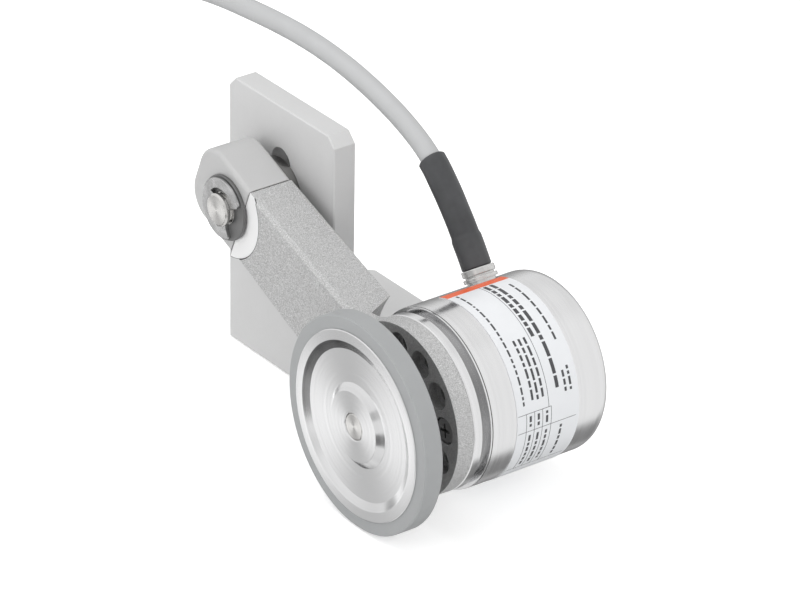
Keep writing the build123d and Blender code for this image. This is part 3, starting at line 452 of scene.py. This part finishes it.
def spline_points(points, resolution=10):
    """Points along a smooth curve that the given points control."""
    curve = bpy.data.curves.new("route", "CURVE")
    curve.dimensions = "3D"
    spline = curve.splines.new("NURBS")
    spline.points.add(len(points) - 1)
    for target, point in zip(spline.points, points):
        target.co = (*point, 1.0)
    spline.order_u = 3
    spline.use_endpoint_u = True
    curve.resolution_u = resolution
    carrier = bpy.data.objects.new("route", curve)
    bpy.context.scene.collection.objects.link(carrier)
    bpy.context.view_layer.update()
    mesh = bpy.data.meshes.new_from_object(carrier)
    line = [vertex.co.copy() for vertex in mesh.vertices]
    bpy.data.objects.remove(carrier)
    bpy.data.meshes.remove(mesh)
    return line


def distances(line):
    """Length along a line up to each of its points."""
    sums = [0.0]
    for before, after in zip(line, line[1:]):
        sums.append(sums[-1] + (after - before).length)
    return sums


def stretch_of(line, start, end, step):
    """Evenly spaced points of a line between two lengths along it."""
    sums = distances(line)
    count = max(2, round((end - start) / step))
    picked = []
    index = 0
    for number in range(count + 1):
        wanted = start + (end - start) * number / count
        while index < len(sums) - 2 and sums[index + 1] < wanted:
            index += 1
        share = (wanted - sums[index]) / (sums[index + 1] - sums[index])
        picked.append(line[index].lerp(line[index + 1], share))
    return picked


def directions(line):
    """Direction of a line at each of its points."""
    ahead = line[1:] + line[-1:]
    behind = line[:1] + line[:-1]
    return [(after - before).normalized() for before, after in zip(behind, ahead)]


def rings_along(line, radii, sides, bend=None):
    """Corners of rings across a line, without twist between them."""
    ways = directions(line)
    across = ways[0].orthogonal().normalized()
    rings = []
    for index, (point, way) in enumerate(zip(line, ways)):
        if index:
            across = ways[index - 1].rotation_difference(way) @ across
        other = way.cross(across)
        ring = []
        for side in range(sides):
            angle = 2 * math.pi * side / sides
            radius = radii[index] * (bend(index, angle) if bend else 1.0)
            ring.append(point + radius * (math.cos(angle) * across + math.sin(angle) * other))
        rings.append(ring)
    return rings


def skin(name, rings, looped=False):
    """Smooth mesh over a row of rings, with flat ends or, if looped, back from the last to the first."""
    build = bmesh.new()
    rows = [[build.verts.new(corner) for corner in ring] for ring in rings]
    sides = len(rows[0])
    following = rows[1:] + rows[:1] if looped else rows[1:]
    for lower, upper in zip(rows, following):
        for side in range(sides):
            after = (side + 1) % sides
            build.faces.new((lower[side], lower[after], upper[after], upper[side])).smooth = True
    if not looped:
        build.faces.new(list(reversed(rows[0])))
        build.faces.new(rows[-1])
    return linked(name, build)


def linked(name, build):
    """Turns a bmesh into an object in the scene."""
    bmesh.ops.recalc_face_normals(build, faces=build.faces)
    mesh = bpy.data.meshes.new(name)
    build.to_mesh(mesh)
    build.free()
    made = bpy.data.objects.new(name, mesh)
    bpy.context.scene.collection.objects.link(made)
    return made


# Cable route, the same points as in the CAD model, in millimetres

OUTLET_X = -6.4
ROUTE = [
    (OUTLET_X, -70.867, 51.894),
    (OUTLET_X, -63.71, 62.505),
    (OUTLET_X, -54.0, 74.3),
    (OUTLET_X, -44.9, 83.0),
    (OUTLET_X, -33.0, 88.5),
    (OUTLET_X, -19.0, 92.4),
    (OUTLET_X, -3.0, 95.2),
    (OUTLET_X, 15.0, 96.2),
    (OUTLET_X, 35.0, 95.2),
    (-8.0, 63.8, 93.3),
    (-15.0, 93.5, 89.5),
    (-23.9, 121.3, 82.5),
    (-32.3, 146.0, 68.5),
    (-36.3, 157.3, 54.9),
    (-39.9, 167.6, 42.1),
    (-43.4, 178.0, 31.5),
    (-47.1, 187.8, 25.7),
    (-50.93, 198.56, 22.83),
    (-54.52, 208.42, 22.83),
]
COIL_CENTRE = Vector((-26.5 * MM, 225.0 * MM, 0.0))
COIL_IN = math.radians(200.0)
COIL_OUT = math.radians(90.0)
COIL_WHOLE_TURNS = 3
COIL_STEPS = 16
TAIL = 23.0 * MM

# Sleeve: distance between its rings, rounding of its ends, and depth of its dents as a share
SLEEVE_STEP = 0.35 * MM
SLEEVE_LIP = 0.35 * MM
SLEEVE_FALL = 1.6 * MM
SLEEVE_DENT = 0.008


def coil_points(cable):
    """Control points of the put-away turns, from the top one down, and the straight tail."""
    turns = COIL_WHOLE_TURNS + (COIL_IN - COIL_OUT) / (2 * math.pi)
    count = round(turns * COIL_STEPS)
    top = cable.diameter * (0.5 + turns)
    outside = cable.coil_radius / math.cos(math.pi / COIL_STEPS)
    points = []
    for index in range(count + 1):
        share = index / count
        angle = COIL_IN - share * turns * 2 * math.pi
        height = top + share * (cable.diameter / 2 - top)
        across = Vector((math.cos(angle), math.sin(angle), 0.0)) * outside
        points.append(COIL_CENTRE + across + Vector((0.0, 0.0, height)))
    last = points[-1]
    return points + [last + Vector((TAIL * share, 0.0, 0.0)) for share in (0.45, 1.0)]


def sleeve_radius(cable, along):
    """Outer radius of the shrink sleeve at a distance from its start."""
    wall = cable.sleeve_wall
    extra = cable.grip_wall - cable.sleeve_wall
    fall = min(1.0, max(0.0, (cable.sleeve_grip + SLEEVE_FALL - along) / SLEEVE_FALL))
    fall = fall * fall * (3 - 2 * fall)
    return cable.diameter / 2 + wall + extra * fall


def sleeve_rings(cable, line):
    """Rings of the sleeve: outside from the ring to its end, then back inside along the jacket."""
    count = len(line) - 1
    last = cable.sleeve_length
    outer = []
    for index in range(count + 1):
        along = last * index / count
        edge = min(1.0, along / SLEEVE_LIP, (last - along) / SLEEVE_LIP)
        outer.append(sleeve_radius(cable, along) - (1 - math.sqrt(max(0.0, edge))) * SLEEVE_LIP)
    wander = random.Random(4)
    phases = [wander.uniform(0, 2 * math.pi) for _ in range(4)]

    def dents(index, angle):
        along = index / count
        wave = math.sin(2 * angle + phases[0] + 5 * along) * math.sin(9 * along + phases[1])
        wave += 0.6 * math.sin(3 * angle + phases[2] - 8 * along) * math.sin(17 * along + phases[3])
        return 1.0 + SLEEVE_DENT * wave

    rings = rings_along(line, outer, cable.sides * 2, dents)
    inside = [cable.diameter / 2 + 0.02 * MM] * (count + 1)
    return rings + list(reversed(rings_along(line, inside, cable.sides * 2)))


def printed_patch(build, radius, start, end, low, high, thickness):
    """Thin closed patch of print on the can, from one angle to another and between two X places."""
    steps = max(1, math.ceil(abs(end - start) / math.radians(3)))
    rows = []
    for index in range(steps + 1):
        angle = start + (end - start) * index / steps
        row = []
        for x, reach in ((low, -thickness), (high, -thickness), (high, thickness), (low, thickness)):
            y = AXLE.y + (radius + reach) * math.cos(angle)
            z = AXLE.z + (radius + reach) * math.sin(angle)
            row.append(build.verts.new((x, y, z)))
        rows.append(row)
    for lower, upper in zip(rows, rows[1:]):
        for side in range(4):
            after = (side + 1) % 4
            build.faces.new((lower[side], lower[after], upper[after], upper[side]))
    build.faces.new(list(reversed(rows[0])))
    build.faces.new(rows[-1])


class LabelPrint:
    """Places lines on the label: along it in degrees from the upper edge, across it in millimetres."""

    def __init__(self, sizes):
        low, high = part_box("housing_label")
        self.sizes = sizes
        self.front = low.x
        self.width = high.x - low.x
        self.radius = high.z - AXLE.z
        self.build = bmesh.new()
        self.chance = random.Random(11)

    def line(self, start, end, across, height):
        """One plain bar."""
        first = self.sizes.top + math.radians(start)
        last = self.sizes.top + math.radians(end)
        low = self.front + across * MM - height / 2
        printed_patch(self.build, self.radius, first, last, low, low + height, self.sizes.ink)

    def row(self, start, end, across, height, word=5.0):
        """Row of short bars of uneven length, as a generic line of print."""
        gap = 1.3
        place = start
        while place < end - 1.5:
            bar = min(word * self.chance.uniform(0.35, 1.2), end - place)
            self.line(place, place + bar, across, height)
            place += bar + gap

    def cross(self, place, low, high):
        """Thin line along X at one angle."""
        half = math.degrees(self.sizes.rule / self.radius) / 2
        middle = (low + high) / 2
        self.line(place - half, place + half, middle, (high - low) * MM)


def label_pattern(sizes):
    """Ruled lines and generic rows on the label, without any lettering."""
    art = LabelPrint(sizes)
    bold, plain, rule = sizes.bold, sizes.plain, sizes.rule
    art.row(17, 68, 18.6, plain * 0.9, word=6.5)
    art.row(10, 96, 14.5, bold, word=8.0)
    art.row(10, 64, 12.3, bold, word=8.0)
    art.line(8, 105, 11.0, rule)
    for across in (9.3, 7.5, 5.7):
        art.row(60, 98, across, plain, word=6.0)
    art.row(10, 101, 2.6, plain * 0.8, word=4.5)
    art.row(84, 99, 19.0, plain, word=5.0)
    art.row(86, 99, 17.2, plain, word=5.0)
    art.cross(105, 0.4, 11.8)
    art.cross(117, 0.4, 20.5)
    art.cross(150, 0.4, 20.5)
    for across in (3.2, 6.0, 8.8, 11.8):
        art.line(105, 150, across, rule)
    for across in (4.6, 7.4, 10.3):
        art.row(107, 115, across, plain, word=4.0)
        art.row(120, 146, across, plain, word=5.0)
    art.row(120, 146, 15.5, plain, word=5.0)
    return linked("label_print", art.build)


def label_stripe(sizes):
    """Plain stripe along the label's upper edge."""
    low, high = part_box("housing_label")
    build = bmesh.new()
    radius = high.z - AXLE.z
    end = sizes.top + sizes.stripe / radius
    printed_patch(build, radius, sizes.top + 0.002, end, low.x + 0.05 * MM, high.x - 0.05 * MM, sizes.ink)
    return linked("label_stripe", build)


# Camera: place in metres, viewing direction, and roll in degrees
CAMERA_PLACE = (-0.82705, -1.12285, 0.76619)
CAMERA_AIM = Vector((0.52923, 0.70371, -0.47404))
CAMERA_ROLL = 0.867

# Glow that turns the floor white in the camera
FLOOR_GLOW = 0.42

# Panels of the studio that metal mirrors: direction, outer and inner half-angle in degrees, and how
# much darker than the rest, or brighter where it is below 0
STUDIO_PANELS = (
    ((0.53, -0.03, -0.85), 23, 8, 0.74),
    ((-0.99, 0.09, -0.04), 9, 4, 0.75),
    ((-0.88, 0.10, -0.47), 14, 7, 0.88),
    ((-0.63, 0.28, -0.72), 18, 9, 0.90),
    ((-0.36, 0.50, -0.79), 16, 8, 0.90),
    ((-0.16, 0.66, -0.73), 11, 5, 0.88),
    ((0.10, 0.86, -0.50), 15, 7, 0.80),
    ((-0.29, 0.92, -0.26), 7, 3, 0.70),
    ((-0.76, 0.56, -0.43), 13, 4, -0.95),
    ((-0.29, 0.85, -0.51), 12, 4, -0.95),
    ((-0.60, 0.75, -0.32), 12, 3, 0.55),
    ((-0.45, 0.65, -0.62), 10, 3, 0.50),
    ((-0.83, -0.36, -0.43), 15, 7, 0.80),
    ((-0.94, -0.19, 0.25), 11, 4, 0.45),
    ((-0.30, -0.90, 0.30), 40, 15, 0.25),
    ((0.53, 0.70, -0.47), 46, 12, 0.70),
    ((0.53, 0.45, 0.72), 48, 10, 0.14),
    ((-0.10, 0.30, 0.95), 45, 15, -0.35),
)


# Operators, one for each group of pieces


class ENCODER_OT_stage(bpy.types.Operator):
    """Adds the camera, the lamps, the surround and the pale floor"""

    bl_idname = "encoder.stage"
    bl_label = "Stage"

    def execute(self, context):
        levels = context.scene.encoder_stage
        context.scene.view_settings.view_transform = "Standard"
        self.add_camera(context, levels)
        self.add_lamps(context, levels)
        self.add_surround(context, levels)
        self.add_floor(context, levels)
        return {"FINISHED"}

    def add_camera(self, context, levels):
        """Camera at the photograph's place, with its slight roll."""
        data = bpy.data.cameras.new("camera")
        data.lens = levels.lens
        data.sensor_width = 36.0
        data.clip_end = 20.0
        camera = bpy.data.objects.new("camera", data)
        camera.location = CAMERA_PLACE
        roll = Quaternion((0, 0, 1), math.radians(CAMERA_ROLL))
        camera.rotation_mode = "QUATERNION"
        camera.rotation_quaternion = CAMERA_AIM.to_track_quat("-Z", "Y") @ roll
        context.scene.collection.objects.link(camera)
        context.scene.camera = camera

    def add_lamps(self, context, levels):
        """Wide soft lamps above, at the side and in front."""
        middle = Vector((-0.01, -0.04, 0.04))
        places = (
            ("key", (-0.25, 0.35, 1.1), 1.1, levels.key),
            ("side", (-1.1, -0.25, 0.55), 0.8, levels.side),
            ("front", (0.30, -1.15, 0.70), 0.8, levels.front),
        )
        for name, place, size, power in places:
            data = bpy.data.lights.new(name, "AREA")
            data.size = size
            data.energy = power
            data.specular_factor = 0.15
            lamp = bpy.data.objects.new(name, data)
            lamp.location = place
            lamp.rotation_mode = "QUATERNION"
            lamp.rotation_quaternion = (middle - Vector(place)).to_track_quat("-Z", "Y")
            lamp.visible_glossy = False
            context.scene.collection.objects.link(lamp)

    def add_surround(self, context, levels):
        """White for the camera, the studio for reflections, and even light for all else."""
        world = bpy.data.worlds.new("surround")
        context.scene.world = world
        world.use_nodes = True
        tree = world.node_tree
        tree.nodes.clear()
        out = tree.nodes.new("ShaderNodeOutputWorld")
        path = tree.nodes.new("ShaderNodeLightPath")
        even = tree.nodes.new("ShaderNodeBackground")
        even.inputs[0].default_value = (1.0, 1.0, 1.0, 1.0)
        even.inputs[1].default_value = levels.surround
        white = tree.nodes.new("ShaderNodeBackground")
        white.inputs[0].default_value = (1.0, 1.0, 1.0, 1.0)
        studio = tree.nodes.new("ShaderNodeBackground")
        studio.inputs[0].default_value = (levels.studio, levels.studio, levels.studio, 1.0)
        tree.links.new(self.studio_panels(tree), studio.inputs[1])
        seen = tree.nodes.new("ShaderNodeMixShader")
        tree.links.new(path.outputs["Is Glossy Ray"], seen.inputs[0])
        tree.links.new(even.outputs[0], seen.inputs[1])
        tree.links.new(studio.outputs[0], seen.inputs[2])
        clear = tree.nodes.new("ShaderNodeMath")
        clear.operation = "MAXIMUM"
        tree.links.new(path.outputs["Is Camera Ray"], clear.inputs[0])
        tree.links.new(path.outputs["Is Transmission Ray"], clear.inputs[1])
        final = tree.nodes.new("ShaderNodeMixShader")
        tree.links.new(clear.outputs[0], final.inputs[0])
        tree.links.new(seen.outputs[0], final.inputs[1])
        tree.links.new(white.outputs[0], final.inputs[2])
        tree.links.new(final.outputs[0], out.inputs[0])

    def studio_panels(self, tree):
        """Brightness of the studio by direction: 1 with darker and brighter panels."""
        place = tree.nodes.new("ShaderNodeTexCoord").outputs["Generated"]
        total = None
        for direction, wide, narrow, depth in STUDIO_PANELS:
            turn = tree.nodes.new("ShaderNodeVectorMath")
            turn.operation = "DOT_PRODUCT"
            tree.links.new(place, turn.inputs[0])
            turn.inputs[1].default_value = Vector(direction).normalized()
            edge = tree.nodes.new("ShaderNodeMapRange")
            edge.interpolation_type = "SMOOTHSTEP"
            edge.inputs["From Min"].default_value = math.cos(math.radians(wide))
            edge.inputs["From Max"].default_value = math.cos(math.radians(narrow))
            edge.inputs["To Min"].default_value = 1.0
            edge.inputs["To Max"].default_value = 1.0 - depth
            tree.links.new(turn.outputs["Value"], edge.inputs["Value"])
            if total is None:
                total = edge.outputs["Result"]
                continue
            both = tree.nodes.new("ShaderNodeMath")
            both.operation = "MULTIPLY"
            tree.links.new(total, both.inputs[0])
            tree.links.new(edge.outputs["Result"], both.inputs[1])
            total = both.outputs[0]
        return total

    def add_floor(self, context, levels):
        """Wide pale floor that goes white in the camera and keeps a soft shadow."""
        build = bmesh.new()
        bmesh.ops.create_grid(build, x_segments=2, y_segments=2, size=1.6)
        floor = linked("floor", build)
        floor.location.z = -0.2 * MM
        finish = Finish("pale_floor", tuple(levels.floor), roughness=0.9)
        path = finish.node("ShaderNodeLightPath")
        seen = finish.math("MAXIMUM", path.outputs["Is Camera Ray"], path.outputs["Is Transmission Ray"])
        glow = finish.node("ShaderNodeEmission")
        finish.link(finish.math("MULTIPLY", seen, FLOOR_GLOW), glow.inputs["Strength"])
        both = finish.node("ShaderNodeAddShader")
        finish.link(finish.shader.outputs[0], both.inputs[0])
        finish.link(glow.outputs[0], both.inputs[1])
        mirrored = finish.node("ShaderNodeBsdfTransparent")
        final = finish.node("ShaderNodeMixShader")
        finish.link(path.outputs["Is Glossy Ray"], final.inputs[0])
        finish.link(both.outputs[0], final.inputs[1])
        finish.link(mirrored.outputs[0], final.inputs[2])
        finish.link(final.outputs[0], finish.tree.nodes["Material Output"].inputs[0])
        floor.data.materials.append(finish.material)


class ENCODER_OT_cable(bpy.types.Operator):
    """Models the cable, its shrink sleeve and the bare end"""

    bl_idname = "encoder.cable"
    bl_label = "Cable"

    def execute(self, context):
        cable = context.scene.encoder_cable
        colours = context.scene.encoder_soft
        line = spline_points([Vector(point) * MM for point in ROUTE] + coil_points(cable))
        jacket = skin("cable", rings_along(line, [cable.diameter / 2] * len(line), cable.sides))
        grey = moulded("cable_jacket", tuple(colours.jacket), 0.42, 2200.0, 0.02, 0.02)
        jacket.data.materials.append(grey)
        sleeve = self.add_sleeve(cable, colours, line)
        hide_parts("cable_lead", "cable_coil")
        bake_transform(jacket)
        dress(moulded("tie_nylon", tuple(colours.plastic), 0.35, 1200.0), "coil_tie")
        dress(wire_colours("core_insulation"), "cable_cores")
        dress(plated("ferrule_tin", tuple(context.scene.encoder_metal.zinc), 0.25), "core_ferrules")
        return {"FINISHED"}

    def add_sleeve(self, cable, colours, line):
        """Shrink sleeve that grips the gland's ring."""
        end = cable.sleeve_start + cable.sleeve_length
        stretch = stretch_of(line, cable.sleeve_start, end, SLEEVE_STEP)
        sleeve = skin("shrink_sleeve", sleeve_rings(cable, stretch), looped=True)
        polymer = moulded("sleeve_polymer", tuple(colours.sleeve), 0.38, 1400.0, 0.03, 0.2)
        sleeve.data.materials.append(polymer)
        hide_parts("strain_relief")
        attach(sleeve, "arm")
        return sleeve


class ENCODER_OT_bracket(bpy.types.Operator):
    """Finishes the bracket"""

    bl_idname = "encoder.bracket"
    bl_label = "Bracket"

    def execute(self, context):
        dress(blasted_plate("anodised_plate", tuple(context.scene.encoder_metal.plate)), "mounting_bracket")
        return {"FINISHED"}


class ENCODER_OT_pivot(bpy.types.Operator):
    """Finishes the pin, its clip, washers, nut, bushes and spring"""

    bl_idname = "encoder.pivot"
    bl_label = "Pivot"

    def execute(self, context):
        metal = context.scene.encoder_metal
        steel = tuple(metal.steel)
        # Painted shade all round the pin behind the arm, where the pin's collar is
        collar = (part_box("arm_casting")[1].x, 1.0, 1.0)
        dress(turned_metal("pin_steel", steel, PIVOT, 0.2, 4200.0, 0.15, 0.85, collar, 0.4), "pivot_pin")
        dress(plated("dowel_steel", steel, 0.2), "stop_pin")
        dress(plated("clip_steel", tuple(metal.clip), 0.2, grain=2600.0, edge=0.35), "retaining_clip")
        dress(plated("washer_steel", tuple(metal.dark), 0.42, metallic=0.8), "pivot_washer")
        dress(plated("zinc_plate", tuple(metal.zinc), 0.3), "clamp_washer", "clamp_nut")
        bronze = moulded("sintered_bronze", tuple(metal.bronze), 0.45, 2400.0, 0.04, 0.15)
        dress(bronze, "front_bush", "rear_bush")
        dress(plated("spring_steel", tuple(metal.dark), 0.35), "torsion_spring")
        return {"FINISHED"}


class ENCODER_OT_arm(bpy.types.Operator):
    """Finishes the cast arm, its cap and the flange's screws"""

    bl_idname = "encoder.arm"
    bl_label = "Arm"

    def execute(self, context):
        metal = context.scene.encoder_metal
        dress(sand_casting("cast_skin", tuple(metal.casting), tuple(metal.machined)), "arm_casting")
        dress(smooth_coat("cap_coat", tuple(metal.cap)), "pivot_cap")
        dress(plated("screw_oxide", tuple(metal.dark), 0.4, metallic=0.8), "flange_screws")
        return {"FINISHED"}


class ENCODER_OT_wheel(bpy.types.Operator):
    """Finishes the measuring wheel and its tyre"""

    bl_idname = "encoder.wheel"
    bl_label = "Wheel"

    def execute(self, context):
        metal = context.scene.encoder_metal
        soft = context.scene.encoder_soft
        turned = turned_metal("wheel_turning", tuple(metal.wheel), AXLE, 0.18, 4200.0, 0.12, 0.85)
        dress(turned, "wheel_disc")
        dress(moulded("tyre_rubber", tuple(soft.tyre), 0.5, 2600.0, 0.015, 0.02), "tyre")
        dress(plated("grub_oxide", tuple(metal.dark), 0.4, metallic=0.8), "grub_screw")
        return {"FINISHED"}


class ENCODER_OT_housing(bpy.types.Operator):
    """Finishes the flange, the can, the label with its ruled print, and the outlet"""

    bl_idname = "encoder.housing"
    bl_label = "Housing"

    def execute(self, context):
        metal = context.scene.encoder_metal
        soft = context.scene.encoder_soft
        sizes = context.scene.encoder_label
        turned = tuple(metal.turned)
        dress(turned_metal("can_turning", turned, AXLE, 0.22, 5200.0, 0.45, 0.6), "housing_can")
        # The flange's groove gets painted shade
        dress(turned_metal("flange_turning", turned, AXLE, 0.16, 5200.0, 0.3, 0.5, GROOVE_SHADE), "encoder_flange")
        dress(moulded("gasket_rubber", tuple(soft.seal), 0.6), "housing_gasket", "shaft_seal")
        dress(moulded("label_foil", tuple(soft.label), 0.36, 900.0, 0.01, 0.015), "housing_label")
        dress(plated("gland_nickel", tuple(metal.nickel), 0.28), "cable_gland", "gland_ring")
        ink = label_pattern(sizes)
        ink.data.materials.append(moulded("label_ink", tuple(soft.ink), 0.4, 1500.0, 0.005))
        stripe = label_stripe(sizes)
        orange = moulded("label_stripe", tuple(soft.stripe), 0.38, 1200.0, 0.005, 0.02)
        stripe.data.materials.append(orange)
        for piece in (ink, stripe):
            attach(piece, "arm")
        return {"FINISHED"}


class ENCODER_OT_bearings(bpy.types.Operator):
    """Finishes the shaft, the ball bearings and the code disc"""

    bl_idname = "encoder.bearings"
    bl_label = "Shaft and bearings"

    def execute(self, context):
        metal = context.scene.encoder_metal
        steel = tuple(metal.steel)
        dress(turned_metal("shaft_steel", steel, AXLE, 0.22, 4200.0, 0.15, 0.85), "encoder_shaft")
        races = ["front_bearing_outer", "rear_bearing_outer", "front_bearing_inner", "rear_bearing_inner"]
        dress(turned_metal("race_steel", steel, AXLE, 0.15, 6000.0, 0.2), *races)
        dress(plated("ball_steel", steel, 0.06, depth=0.002), "front_balls", "rear_balls")
        dress(moulded("cage_nylon", tuple(context.scene.encoder_soft.cage), 0.5), "front_cage", "rear_cage")
        dress(plated("circlip_oxide", tuple(metal.dark), 0.4), "shaft_circlip")
        dress(turned_metal("hub_brass", tuple(metal.brass), AXLE, 0.25), "disc_hub")
        dress(plated("disc_nickel", tuple(metal.nickel), 0.18), "code_disc")
        return {"FINISHED"}


class ENCODER_OT_electronics(bpy.types.Operator):
    """Finishes the circuit board, its posts, the sensor and the inner wires"""

    bl_idname = "encoder.electronics"
    bl_label = "Electronics"

    def execute(self, context):
        metal = context.scene.encoder_metal
        soft = context.scene.encoder_soft
        dress(moulded("solder_mask", tuple(soft.board), 0.25, 700.0, 0.02, 0.15), "circuit_board")
        dress(plated("post_zinc", tuple(metal.zinc), 0.3), "board_spacers", "board_screws")
        dress(moulded("sensor_plastic", tuple(soft.plastic), 0.5), "sensor_head")
        dress(wire_colours("lead_insulation"), "lead_cores")
        return {"FINISHED"}


class ENCODER_PT_panel(bpy.types.Panel):
    """Steps that dress the measuring wheel encoder"""

    bl_idname = "ENCODER_PT_panel"
    bl_label = "Measuring Wheel Encoder"
    bl_space_type = "VIEW_3D"
    bl_region_type = "UI"
    bl_category = "Encoder"

    def draw(self, context):
        column = self.layout.column(align=True)
        for operator in STEPS:
            column.operator(operator.bl_idname)


GROUPS = {
    "encoder_metal": MetalColours,
    "encoder_soft": SoftColours,
    "encoder_cable": CableSizes,
    "encoder_label": LabelSizes,
    "encoder_stage": StageLevels,
}
STEPS = (
    ENCODER_OT_stage,
    ENCODER_OT_cable,
    ENCODER_OT_bracket,
    ENCODER_OT_pivot,
    ENCODER_OT_arm,
    ENCODER_OT_wheel,
    ENCODER_OT_housing,
    ENCODER_OT_bearings,
    ENCODER_OT_electronics,
)


def register():
    """Registers the property groups, the operators and the panel."""
    for name, group in GROUPS.items():
        bpy.utils.register_class(group)
        setattr(bpy.types.Scene, name, PointerProperty(type=group))
    for step in STEPS:
        bpy.utils.register_class(step)
    bpy.utils.register_class(ENCODER_PT_panel)


def unregister():
    """Takes the classes out again, last one first."""
    bpy.utils.unregister_class(ENCODER_PT_panel)
    for step in reversed(STEPS):
        bpy.utils.unregister_class(step)
    for name, group in reversed(GROUPS.items()):
        delattr(bpy.types.Scene, name)
        bpy.utils.unregister_class(group)


def main():
    """Registers everything and runs the steps in order."""
    register()
    bpy.ops.encoder.stage()
    bpy.ops.encoder.cable()
    bpy.ops.encoder.bracket()
    bpy.ops.encoder.pivot()
    bpy.ops.encoder.arm()
    bpy.ops.encoder.wheel()
    bpy.ops.encoder.housing()
    bpy.ops.encoder.bearings()
    bpy.ops.encoder.electronics()


if __name__ == "__main__":
    main()
